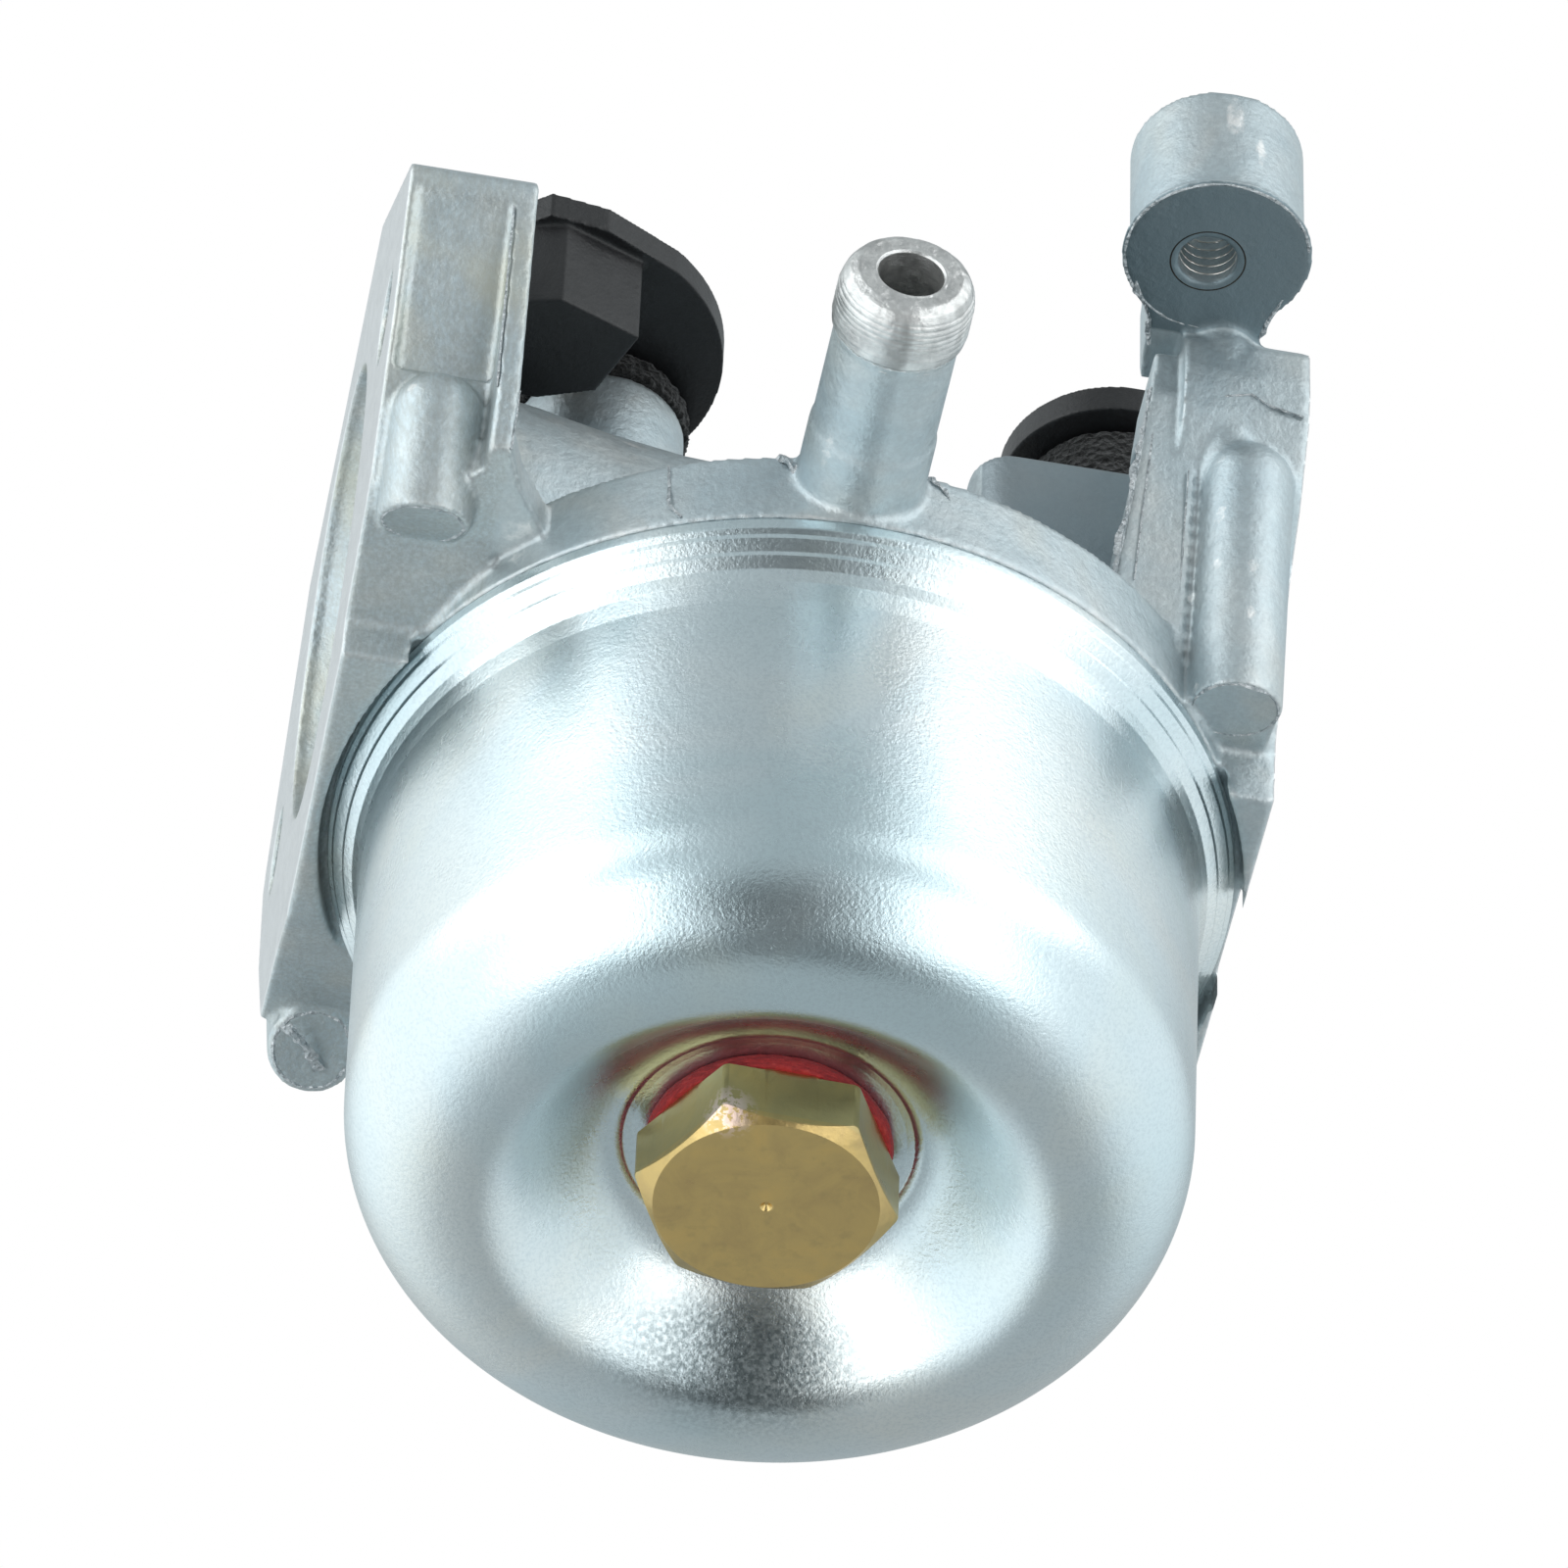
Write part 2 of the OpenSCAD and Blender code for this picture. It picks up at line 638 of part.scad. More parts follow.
module choke_screws() {
    color(brass_colour) seated() plate_screws(choke_x, 0.9, 0);
}

module choke_seal() {
    color(foam_colour) seated() difference() {
        post(choke_x, 0, 5.4, choke_boss_top, lever_z - face_gap);
        post(choke_x, 0, choke_shaft_r + 0.1, choke_boss_top - 1, lever_z);
    }
}

/* ---------- throttle ---------- */

module throttle_shaft() {
    color(plastic_colour) seated() flatted_shaft(throttle_x, throttle_shaft_r, throttle_plate_r, -90);
}

module throttle_lever() {
    arm_end_r = 2.6;
    link_hole_r = 1.05;
    color(plastic_colour) seated() difference() {
        lever_hub(throttle_x, 4.2, throttle_shaft_r) {
            post(throttle_x, 0, 6.7, lever_z, lever_z + lever_t);
            slab_z(lever_z, lever_t) translate([throttle_x - arm_end_r, 0]) square([2 * arm_end_r, throttle_arm]);
            post(throttle_x, throttle_arm, arm_end_r, lever_z, lever_z + lever_t);
        }
        post(throttle_x, throttle_arm, link_hole_r, lever_z - 1, lever_z + lever_t + 1);
    }
}

module throttle_plate() {
    color(brass_colour) seated() butterfly(throttle_x, throttle_plate_r, 0.8, -90);
}

module throttle_screws() {
    color(brass_colour) seated() plate_screws(throttle_x, 0.8, -90);
}

module throttle_seal() {
    color(foam_colour) seated() difference() {
        post(throttle_x, 0, 5.5, throttle_boss_top, lever_z - face_gap);
        post(throttle_x, 0, throttle_shaft_r + 0.1, throttle_boss_top - 1, lever_z);
    }
}

body_casting();
float_bowl();
bowl_gasket();
bowl_bolt();
bolt_washer();
float();
float_pin();
inlet_needle();
needle_clip();
needle_seat();
main_jet();
main_nozzle();
idle_jet();
idle_jet_seal();
choke_shaft();
choke_lever();
choke_plate();
choke_screws();
choke_seal();
throttle_shaft();
throttle_lever();
throttle_plate();
throttle_screws();
throttle_seal();
idle_chamber_plug();
passage_balls();
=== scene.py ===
"""Carburetor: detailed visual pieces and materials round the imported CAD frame.

Lengths in the helpers are millimetres, measured from the centre of the bowl rim: the bowl axis is Z, the throat
runs along X, and the fuel spigot points to -Y. at() turns such a point into the frame's metres.
"""
import math

import bmesh
import bpy
from mathutils import Matrix, Vector, noise


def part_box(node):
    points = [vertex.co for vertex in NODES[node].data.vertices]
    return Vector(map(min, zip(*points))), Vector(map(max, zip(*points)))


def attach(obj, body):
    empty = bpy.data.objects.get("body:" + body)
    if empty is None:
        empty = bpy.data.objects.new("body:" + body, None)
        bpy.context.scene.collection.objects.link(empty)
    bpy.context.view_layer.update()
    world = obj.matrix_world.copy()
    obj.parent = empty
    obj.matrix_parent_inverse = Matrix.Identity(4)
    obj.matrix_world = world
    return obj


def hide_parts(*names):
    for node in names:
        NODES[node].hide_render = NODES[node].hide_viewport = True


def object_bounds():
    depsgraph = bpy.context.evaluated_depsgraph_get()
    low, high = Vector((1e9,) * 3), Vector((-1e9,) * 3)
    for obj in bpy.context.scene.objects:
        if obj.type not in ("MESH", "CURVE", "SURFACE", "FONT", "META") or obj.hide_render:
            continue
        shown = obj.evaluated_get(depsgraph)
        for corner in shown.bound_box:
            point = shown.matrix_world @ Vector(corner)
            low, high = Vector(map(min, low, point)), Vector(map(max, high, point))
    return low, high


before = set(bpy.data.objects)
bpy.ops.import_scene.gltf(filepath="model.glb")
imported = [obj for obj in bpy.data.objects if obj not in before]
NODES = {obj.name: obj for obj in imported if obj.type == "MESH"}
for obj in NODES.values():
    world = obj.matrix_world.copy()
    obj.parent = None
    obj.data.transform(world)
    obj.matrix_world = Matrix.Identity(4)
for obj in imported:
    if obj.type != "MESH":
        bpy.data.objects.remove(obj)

CAD_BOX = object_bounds()
MM = 0.001
BOWL_LO, BOWL_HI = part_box("float_bowl")
RIM_CENTRE = Vector(((BOWL_LO.x + BOWL_HI.x) / 2, (BOWL_LO.y + BOWL_HI.y) / 2, BOWL_HI.z))


def at(x, y, z):
    """A point given in millimetres from the centre of the bowl rim, in the frame's metres."""
    return RIM_CENTRE + Vector((x, y, z)) * MM


# ---------------------------------------------------------------- camera

AZIMUTH, ELEVATION, ROLL = (math.radians(a) for a in (-8.557, -47.752, 2.444))
BACK = Vector((math.sin(AZIMUTH) * math.cos(ELEVATION), -math.cos(AZIMUTH) * math.cos(ELEVATION),
               math.sin(ELEVATION)))
LEVEL = Vector((math.cos(AZIMUTH), math.sin(AZIMUTH), 0))
RISE = BACK.cross(LEVEL)
RIGHT = LEVEL * math.cos(ROLL) + RISE * math.sin(ROLL)
UP = RISE * math.cos(ROLL) - LEVEL * math.sin(ROLL)
EYE = at(-57.94, -385.01, -422.26)


def make_camera():
    data = bpy.data.cameras.new("view")
    data.lens = 236.25
    data.sensor_width = 36
    data.clip_start, data.clip_end = 0.01, 20
    cam = bpy.data.objects.new("view", data)
    cam.matrix_world = Matrix.Translation(EYE) @ Matrix((RIGHT, UP, BACK)).transposed().to_4x4()
    bpy.context.scene.collection.objects.link(cam)
    bpy.context.scene.camera = cam


make_camera()

# ---------------------------------------------------------------- shader helpers


class Nodes:
    """A small wrapper that builds a material's node tree."""

    def __init__(self, name):
        self.mat = bpy.data.materials.new(name)
        self.mat.use_nodes = True
        self.tree = self.mat.node_tree
        self.tree.nodes.clear()
        self.out = self.add("ShaderNodeOutputMaterial")
        self.shader = self.add("ShaderNodeBsdfPrincipled")
        self.tree.links.new(self.shader.outputs[0], self.out.inputs[0])
        self.coord = self.add("ShaderNodeTexCoord").outputs["Object"]

    def add(self, kind, **values):
        node = self.tree.nodes.new(kind)
        for key, value in values.items():
            setattr(node, key, value)
        return node

    def put(self, socket, value):
        """Links value to socket if it is an output, and sets it if it is a number or colour."""
        if isinstance(value, bpy.types.NodeSocket):
            self.tree.links.new(value, socket)
        else:
            socket.default_value = value

    def set(self, **values):
        for key, value in values.items():
            self.put(self.shader.inputs[key.replace("_", " ")], value)

    def noise(self, scale, detail=3.0, rough=0.55, vector=None, distort=0.0):
        """Noise with scale in waves per millimetre."""
        n = self.add("ShaderNodeTexNoise")
        self.put(n.inputs["Vector"], vector or self.coord)
        n.inputs["Scale"].default_value = scale / MM
        n.inputs["Detail"].default_value = detail
        n.inputs["Roughness"].default_value = rough
        n.inputs["Distortion"].default_value = distort
        return n.outputs["Fac"]

    def cells(self, scale):
        """Distance to the nearest cell point, with scale in cells per millimetre."""
        n = self.add("ShaderNodeTexVoronoi")
        self.put(n.inputs["Vector"], self.coord)
        n.inputs["Scale"].default_value = scale / MM
        return n.outputs["Distance"]

    def stretched(self, x, y, z, turn=(0, 0, 0), centre=None):
        """Object coordinates scaled along each axis, about centre and after a turn."""
        vector = self.coord
        if centre is not None:
            shift = self.add("ShaderNodeVectorMath", operation="SUBTRACT")
            self.put(shift.inputs[0], vector)
            shift.inputs[1].default_value = centre
            vector = shift.outputs[0]
        m = self.add("ShaderNodeMapping")
        self.put(m.inputs["Vector"], vector)
        m.inputs["Rotation"].default_value = turn
        m.inputs["Scale"].default_value = (x, y, z)
        return m.outputs[0]

    def math(self, op, a, b=0.0, c=0.0, clamp=False):
        n = self.add("ShaderNodeMath", operation=op, use_clamp=clamp)
        self.put(n.inputs[0], a)
        self.put(n.inputs[1], b)
        self.put(n.inputs[2], c)
        return n.outputs[0]

    def ramp(self, fac, *stops, smooth=False):
        """stops are (position, value) or (position, colour) pairs."""
        n = self.add("ShaderNodeValToRGB")
        self.put(n.inputs[0], fac)
        if smooth:
            n.color_ramp.interpolation = "EASE"
        els = n.color_ramp.elements
        while len(els) < len(stops):
            els.new(0.5)
        for el, (pos, col) in zip(els, stops):
            el.position = pos
            el.color = (*col, 1) if isinstance(col, tuple) else (col, col, col, 1)
        return n.outputs[0]

    def mix(self, fac, a, b):
        n = self.add("ShaderNodeMix", data_type="RGBA")
        self.put(n.inputs["Factor"], fac)
        colour_a, colour_b = n.inputs[6], n.inputs[7]
        for socket, value in ((colour_a, a), (colour_b, b)):
            self.put(socket, (*value, 1) if isinstance(value, tuple) and len(value) == 3 else value)
        return n.outputs[2]

    def split(self, vector=None):
        n = self.add("ShaderNodeSeparateXYZ")
        self.put(n.inputs[0], vector or self.coord)
        return n.outputs

    def pointiness(self):
        return self.add("ShaderNodeNewGeometry").outputs["Pointiness"]

    def bump(self, *layers):
        """layers are (height, distance in millimetres); each is laid over the one before."""
        last = None
        for height, depth in layers:
            n = self.add("ShaderNodeBump")
            self.put(n.inputs["Height"], height)
            n.inputs["Strength"].default_value = 1
            n.inputs["Distance"].default_value = depth * MM
            if last is not None:
                self.put(n.inputs["Normal"], last)
            last = n.outputs[0]
        self.put(self.shader.inputs["Normal"], last)


def slab_mask(n, axis, lo, hi, soft=0.05):
    """1 between the planes lo and hi of one axis (metres), 0 outside, with a soft edge in millimetres."""
    value = n.split()[axis]
    rise = n.math("MULTIPLY_ADD", value, 1 / (soft * MM), -lo / (soft * MM), clamp=True)
    fall = n.math("MULTIPLY_ADD", value, -1 / (soft * MM), hi / (soft * MM), clamp=True)
    return n.math("MULTIPLY", rise, fall)


# ---------------------------------------------------------------- materials

# foot of the tapped hole, and the radii of its thread
THREAD = Vector((18.65, -27.1, 25.0))
THREAD_PITCH, THREAD_CREST, THREAD_ROOT, THREAD_SLEEVE = 0.7, 1.6, 2.0, 2.15


def zinc_casting():
    """Satin, blue-grey passivated die casting with machined end faces."""
    n = Nodes("zinc_casting")
    cloud = n.noise(0.11, 3, 0.6, distort=0.6)
    patch = n.noise(0.35, 4, 0.6)
    grain = n.noise(3.2, 4, 0.65)
    tone = n.ramp(cloud, (0.3, (0.47, 0.56, 0.60)), (0.52, (0.57, 0.635, 0.655)),
                  (0.72, (0.63, 0.64, 0.62)))
    tone = n.mix(n.ramp(patch, (0.38, 0.0), (0.66, 0.5)), tone, (0.52, 0.61, 0.64))
    tone = n.mix(n.ramp(n.noise(0.22, 2, 0.5, n.stretched(1, 1, 0.55)), (0.58, 0.0), (0.78, 0.4)),
                 tone, (0.66, 0.63, 0.55))
    tone = n.mix(n.ramp(grain, (0.35, 0.4), (0.7, 0.0)), tone, (0.36, 0.40, 0.42))
    edge = n.ramp(n.pointiness(), (0.525, 0.0), (0.60, 1.0))
    edge = n.math("MULTIPLY", edge, n.ramp(n.noise(1.1, 3, 0.7), (0.38, 0.1), (0.62, 0.85)))
    tone = n.mix(edge, tone, (0.86, 0.86, 0.85))
    # painted shade: the zinc is darker in creases and hollows, found from pointiness
    crease_shade = n.ramp(n.pointiness(), (0.42, 1.0), (0.48, 0.0))
    tone = n.mix(n.math("MULTIPLY", crease_shade, 0.6), tone, (0.20, 0.22, 0.23))
    # the air flange flanks are brushed upright, with an olive stain on their upper part
    flank = slab_mask(n, 0, at(-27, 0, 0).x, at(-19.3, 0, 0).x, 0.3)
    brush = n.noise(4.5, 3, 0.6, n.stretched(1, 1, 0.12))
    brushed = n.math("MULTIPLY", flank, n.ramp(brush, (0.40, 0.45), (0.62, 0.0)))
    tone = n.mix(brushed, tone, (0.40, 0.42, 0.40))
    olive = n.math("MULTIPLY", n.ramp(n.noise(0.16, 2, 0.5), (0.46, 0.0), (0.66, 0.5)),
                   slab_mask(n, 2, at(0, 0, 6).z, at(0, 0, 40).z, 6))
    tone = n.mix(n.math("MULTIPLY", flank, olive), tone, (0.60, 0.58, 0.47))
    # the underside of the boss and the face of the throttle block are darker
    under = n.math("MULTIPLY", slab_mask(n, 2, at(0, 0, 24.7).z, at(0, 0, 25.25).z, 0.1),
                   slab_mask(n, 1, at(0, -34, 0).y, at(0, -21.6, 0).y, 0.2))
    face = n.math("MULTIPLY", slab_mask(n, 0, at(7, 0, 0).x, at(18.3, 0, 0).x, 0.1),
                  n.math("MULTIPLY", slab_mask(n, 1, at(0, -12.5, 0).y, at(0, -10, 0).y, 0.1),
                         slab_mask(n, 2, at(0, 0, 5.2).z, at(0, 0, 26).z, 0.1)))
    tone = n.mix(n.math("MULTIPLY", under, 0.92), tone, (0.19, 0.245, 0.27))
    tone = n.mix(n.math("MULTIPLY", face, 0.75), tone, (0.25, 0.30, 0.33))
    lo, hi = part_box("body_casting")
    skin = 0.1 * MM
    ends = n.math("ADD", slab_mask(n, 0, hi.x - skin, hi.x + MM), slab_mask(n, 0, lo.x - MM, lo.x + skin))
    mill_marks = n.noise(6, 2, 0.5, n.stretched(1, 0.25, 3))
    tone = n.mix(ends, tone, n.ramp(mill_marks, (0.35, (0.62, 0.63, 0.64)), (0.65, (0.76, 0.77, 0.77))))
    rough = n.math("MULTIPLY_ADD", n.noise(0.8, 4, 0.6), 0.24, 0.36)
    rough = n.math("MULTIPLY_ADD", ends, -0.14, rough)
    n.set(Base_Color=tone, Metallic=0.85, Roughness=rough)
    n.bump((n.noise(0.5, 3, 0.55), 0.10), (n.noise(2.5, 4, 0.6), 0.045), (n.noise(8, 2, 0.5), 0.012))
    return n.mat


def machined_zinc():
    """Bright turned zinc with fine tool rings, for the spigot nose."""
    n = Nodes("machined_zinc")
    low, high = 0.52, 0.82
    tone = n.ramp(n.noise(0.9, 4, 0.6), (0.3, (low, low, low * 0.99)), (0.7, (high, high, high * 0.98)))
    stain = n.ramp(n.noise(0.5, 3, 0.6, n.stretched(1, 0.3, 1)), (0.55, 0.0), (0.68, 0.6))
    tone = n.mix(stain, tone, (0.36, 0.36, 0.35))
    n.set(Base_Color=tone, Metallic=0.95, Roughness=n.math("MULTIPLY_ADD", n.noise(1.5, 3, 0.6), 0.2, 0.26))
    n.bump((n.noise(4, 4, 0.65, n.stretched(1, 3.5, 1)), 0.03), (n.noise(1.1, 3, 0.6), 0.05))
    return n.mat


def thread_zinc():
    """Tapped zinc: bright crests, and roots painted near black as shade."""
    n = Nodes("thread_zinc")
    away = n.add("ShaderNodeVectorMath", operation="LENGTH")
    n.put(away.inputs[0], n.stretched(1, 1, 0, centre=at(*THREAD)))
    radius = n.math("MULTIPLY", away.outputs["Value"], 1 / MM)
    height = THREAD_ROOT - THREAD_CREST
    depth = n.math("MULTIPLY_ADD", radius, 1 / height, -THREAD_CREST / height)
    # painted shade: the colour falls to near black toward the roots of the thread
    tone = n.ramp(depth, (0.12, (0.80, 0.77, 0.72)), (0.5, (0.03, 0.027, 0.024)))
    tone = n.mix(n.ramp(n.noise(1.5, 3, 0.6), (0.35, 0.4), (0.65, 0.0)), tone, (0.12, 0.10, 0.08))
    n.set(Base_Color=tone, Metallic=0.9, Roughness=n.math("MULTIPLY_ADD", n.noise(2, 3, 0.6), 0.2, 0.22))
    n.bump((n.noise(3, 3, 0.6), 0.02))
    return n.mat


def plated_steel():
    """Bright zinc plate with a pale blue tint over a fine-grained drawn sheet."""
    n = Nodes("zinc_plated_steel")
    cloud = n.noise(0.045, 3, 0.55, distort=0.8)
    tone = n.ramp(cloud, (0.32, (0.63, 0.76, 0.80)), (0.5, (0.72, 0.81, 0.84)),
                  (0.68, (0.78, 0.82, 0.81)))
    tone = n.mix(n.ramp(n.noise(0.12, 3, 0.6), (0.5, 0.0), (0.78, 0.3)), tone, (0.77, 0.79, 0.69))
    grain = n.noise(4.6, 3, 0.62)
    tone = n.mix(n.ramp(grain, (0.34, 0.34), (0.55, 0.0)), tone, (0.50, 0.58, 0.62))
    scratch = n.noise(0.8, 2, 0.4, n.stretched(9, 9, 0.6, turn=(0.1, 0.15, 0)))
    # painted reflection: a dark, speckled patch on the dish behind the bolt
    half_x, half_y, half_z = 10, 6.5, 4
    place_x, place_y, place_z = n.split(n.stretched(1 / half_x, 1 / half_y, 1 / half_z,
                                                    centre=at(0.6, 12.5, -26.5)))
    span = n.math("ADD", n.math("POWER", place_x, 2.0), n.math("POWER", place_y, 2.0))
    span = n.math("MULTIPLY", n.math("SQRT", n.math("ADD", span, n.math("POWER", place_z, 2.0))), 1 / MM)
    dark_reflection = n.math("MULTIPLY", n.ramp(span, (0.35, 1.0), (1.0, 0.0), smooth=True),
                  n.ramp(n.noise(3.4, 3, 0.65), (0.40, 1.0), (0.62, 0.35)))
    # mixes the painted dark reflection into the plate's colour
    tone = n.mix(n.math("MULTIPLY", dark_reflection, 0.85), tone, (0.17, 0.21, 0.22))
    rough = n.math("MULTIPLY_ADD", n.noise(0.25, 4, 0.6), 0.10, 0.23)
    rough = n.math("MULTIPLY_ADD", n.ramp(scratch, (0.70, 0.0), (0.76, 1.0)), 0.12, rough)
    n.set(Base_Color=tone, Metallic=1.0, Roughness=rough)
    n.bump((n.noise(0.07, 2, 0.5), 0.12), (grain, 0.022), (n.noise(1.6, 3, 0.6), 0.012))
    return n.mat


def brass():
    """Turned, slightly tarnished brass with darker stains and a painted highlight on one corner of the head."""
    n = Nodes("brass")
    stain = n.noise(0.28, 4, 0.62, distort=0.7)
    tone = n.ramp(stain, (0.30, (0.55, 0.395, 0.175)), (0.52, (0.64, 0.465, 0.19)),
                  (0.72, (0.70, 0.49, 0.185)))
    tone = n.mix(n.ramp(n.noise(1.1, 3, 0.6), (0.28, 0.22), (0.44, 0.0)), tone, (0.34, 0.27, 0.14))
    head = slab_mask(n, 2, at(0, 0, -26.9).z, at(0, 0, -23.4).z, 0.1)
    tone = n.mix(n.math("MULTIPLY", head, 0.35), tone, (0.46, 0.43, 0.23))
    # painted highlight: a bright spot on one corner of the head
    corner_glint = n.ramp(n.noise(2.4, 3, 0.6), (0.46, 0.0), (0.52, 1.0))
    away = n.add("ShaderNodeVectorMath", operation="DISTANCE")
    n.put(away.inputs[0], n.coord)
    away.inputs[1].default_value = at(-3.3, -6.2, -26.9)
    glint_reach = 3.0
    near = n.ramp(n.math("MULTIPLY", away.outputs["Value"], 1 / (glint_reach * MM)), (0.25, 1.0), (0.6, 0.0))
    tone = n.mix(n.math("MULTIPLY", near, corner_glint), tone, (0.95, 0.72, 0.60))
    rough = n.math("MULTIPLY_ADD", stain, 0.22, 0.20)
    n.set(Base_Color=tone, Metallic=0.95, Roughness=rough)
    n.bump((n.noise(2.2, 4, 0.6), 0.02), (n.noise(0.5, 2, 0.5), 0.05))
    return n.mat


def steel():
    """Plain bright steel of the small inner parts."""
    n = Nodes("steel")
    light = 0.6
    tone = n.ramp(n.noise(0.5, 3, 0.6), (0.3, (light * 0.85,) * 3), (0.7, (light, light, light * 1.02)))
    n.set(Base_Color=tone, Metallic=0.95, Roughness=n.math("MULTIPLY_ADD", n.noise(1.2, 3, 0.6), 0.2, 0.22))
    n.bump((n.noise(4, 3, 0.6, n.stretched(1, 1, 0.2)), 0.02))
    return n.mat


def red_fibre():
    """Pressed red fibre, laid flat."""
    n = Nodes("red_fibre")
    fibre = n.noise(1.8, 4, 0.7, n.stretched(1, 1, 4))
    tone = n.ramp(fibre, (0.32, (0.30, 0.012, 0.014)), (0.55, (0.52, 0.026, 0.028)),
                  (0.75, (0.66, 0.075, 0.06)))
    n.set(Base_Color=tone, Roughness=n.math("MULTIPLY_ADD", fibre, 0.25, 0.45))
    n.bump((fibre, 0.12), (n.noise(6, 3, 0.6), 0.04))
    return n.mat


def black_plastic():
    """Moulded nylon: near black, with slightly greyer scuffs."""
    n = Nodes("black_plastic")
    scuff = n.noise(0.55, 4, 0.65, distort=0.4)
    tone = n.ramp(scuff, (0.35, (0.010, 0.010, 0.011)), (0.65, (0.014, 0.014, 0.015)),
                  (0.85, (0.022, 0.022, 0.023)))
    n.set(Base_Color=tone, Roughness=n.math("MULTIPLY_ADD", n.noise(0.9, 4, 0.6), 0.2, 0.34),
          Specular_IOR_Level=0.45)
    n.bump((n.noise(3.5, 4, 0.65), 0.035), (scuff, 0.06))
    return n.mat


def black_foam():
    """Open-cell foam: fuzzy black pores with a few light fibres."""
    n = Nodes("black_foam")
    pore = n.cells(2.2)
    fuzz = n.noise(5, 4, 0.7)
    tone = n.ramp(fuzz, (0.45, (0.006, 0.006, 0.006)), (0.66, (0.022, 0.021, 0.020)),
                  (0.82, (0.12, 0.115, 0.105)))
    n.set(Base_Color=tone, Roughness=0.95, Specular_IOR_Level=0.2, Sheen_Weight=0.25, Sheen_Roughness=0.5)
    n.bump((pore, 0.25), (fuzz, 0.15))
    return n.mat


def rubber():
    """Matt black rubber of the gasket and the small seals."""
    n = Nodes("rubber")
    tone = n.ramp(n.noise(0.8, 3, 0.6), (0.35, (0.012, 0.012, 0.012)), (0.7, (0.028, 0.028, 0.028)))
    n.set(Base_Color=tone, Roughness=n.math("MULTIPLY_ADD", n.noise(1.5, 3, 0.6), 0.2, 0.5))
    n.bump((n.noise(4, 3, 0.6), 0.03))
    return n.mat


def float_plastic():
    """Cream moulded float, slightly translucent."""
    n = Nodes("float_plastic")
    tone = n.ramp(n.noise(0.2, 3, 0.6), (0.35, (0.60, 0.57, 0.47)), (0.7, (0.70, 0.68, 0.59)))
    n.set(Base_Color=tone, Roughness=n.math("MULTIPLY_ADD", n.noise(0.8, 3, 0.6), 0.2, 0.38),
          Subsurface_Weight=0.15, Subsurface_Radius=(0.002, 0.0015, 0.001))
    n.bump((n.noise(2.5, 3, 0.6), 0.03))
    return n.mat


def broken_zinc():
    """Freshly torn zinc: sparkling, rough, lighter than the skin round it."""
    n = Nodes("broken_zinc")
    crystal = n.cells(2.6)
    tone = n.ramp(n.noise(1.4, 4, 0.7), (0.3, (0.34, 0.38, 0.40)), (0.7, (0.66, 0.68, 0.69)))
    n.set(Base_Color=tone, Metallic=0.9, Roughness=n.math("MULTIPLY_ADD", crystal, 0.5, 0.22))
    n.bump((crystal, 0.22), (n.noise(4, 4, 0.7), 0.10))
    return n.mat


ZINC = zinc_casting()
MACHINED = machined_zinc()
THREAD_MAT = thread_zinc()
PLATED = plated_steel()
BRASS = brass()
STEEL = steel()
FIBRE = red_fibre()
PLASTIC = black_plastic()
FOAM = black_foam()
RUBBER = rubber()
FLOAT = float_plastic()
TORN = broken_zinc()

# ---------------------------------------------------------------- mesh helpers


STRAIGHT = math.radians(176)


def new_object(name, mesh, material, smooth=True):
    obj = bpy.data.objects.new(name, mesh)
    bpy.context.scene.collection.objects.link(obj)
    if material is not None:
        mesh.materials.append(material)
    mesh.polygons.foreach_set("use_smooth", [smooth] * len(mesh.polygons))
    return obj


def shade(obj, degrees=35):
    """Smooth shading with sharp edges where faces meet at more than the angle."""
    obj.data.polygons.foreach_set("use_smooth", [True] * len(obj.data.polygons))
    obj.data.set_sharp_from_angle(angle=math.radians(degrees))


def from_bmesh(name, bm, material, smooth=True):
    mesh = bpy.data.meshes.new(name)
    bmesh.ops.recalc_face_normals(bm, faces=bm.faces)
    bm.to_mesh(mesh)
    bm.free()
    return new_object(name, mesh, material, smooth)


def modify(obj, kind, **values):
    """Adds a modifier and applies it."""
    m = obj.modifiers.new(kind.lower(), kind)
    for key, value in values.items():
        setattr(m, key, value)
    dg = bpy.context.evaluated_depsgraph_get()
    mesh = bpy.data.meshes.new_from_object(obj.evaluated_get(dg))
    obj.modifiers.clear()
    old = obj.data
    obj.data = mesh
    bpy.data.meshes.remove(old)
    return obj


def drop(obj):
    """Deletes an object and its mesh."""
    mesh = obj.data
    bpy.data.objects.remove(obj)
    bpy.data.meshes.remove(mesh)


def rounded(points, radius, steps=4):
    """Replaces each inner corner of an open outline by an arc. points are (r, z) or (r, z, radius)."""
    out = [Vector(points[0][:2])]
    for before, here, after in zip(points, points[1:], points[2:]):
        p = Vector(here[:2])
        rad = here[2] if len(here) > 2 else radius
        a = Vector(before[:2]) - p
        b = Vector(after[:2]) - p
        la, lb = a.length, b.length
        a /= la
        b /= lb
        angle = a.angle(b)
        if rad <= 0 or angle > STRAIGHT:
            out.append(p)
            continue
        trim = min(rad / math.tan(angle / 2), la * 0.48, lb * 0.48)
        p0, p1 = p + a * trim, p + b * trim
        for i in range(steps + 1):
            t = i / steps
            out.append(p0 * (1 - t) ** 2 + p * 2 * t * (1 - t) + p1 * t * t)
    out.append(Vector(points[-1][:2]))
    return out


def subdivided(points, longest):
    """The same outline with no stretch longer than longest."""
    out = [points[0]]
    for a, b in zip(points, points[1:]):
        k = max(1, math.ceil((b - a).length / longest))
        out.extend(a.lerp(b, i / k) for i in range(1, k + 1))
    return out


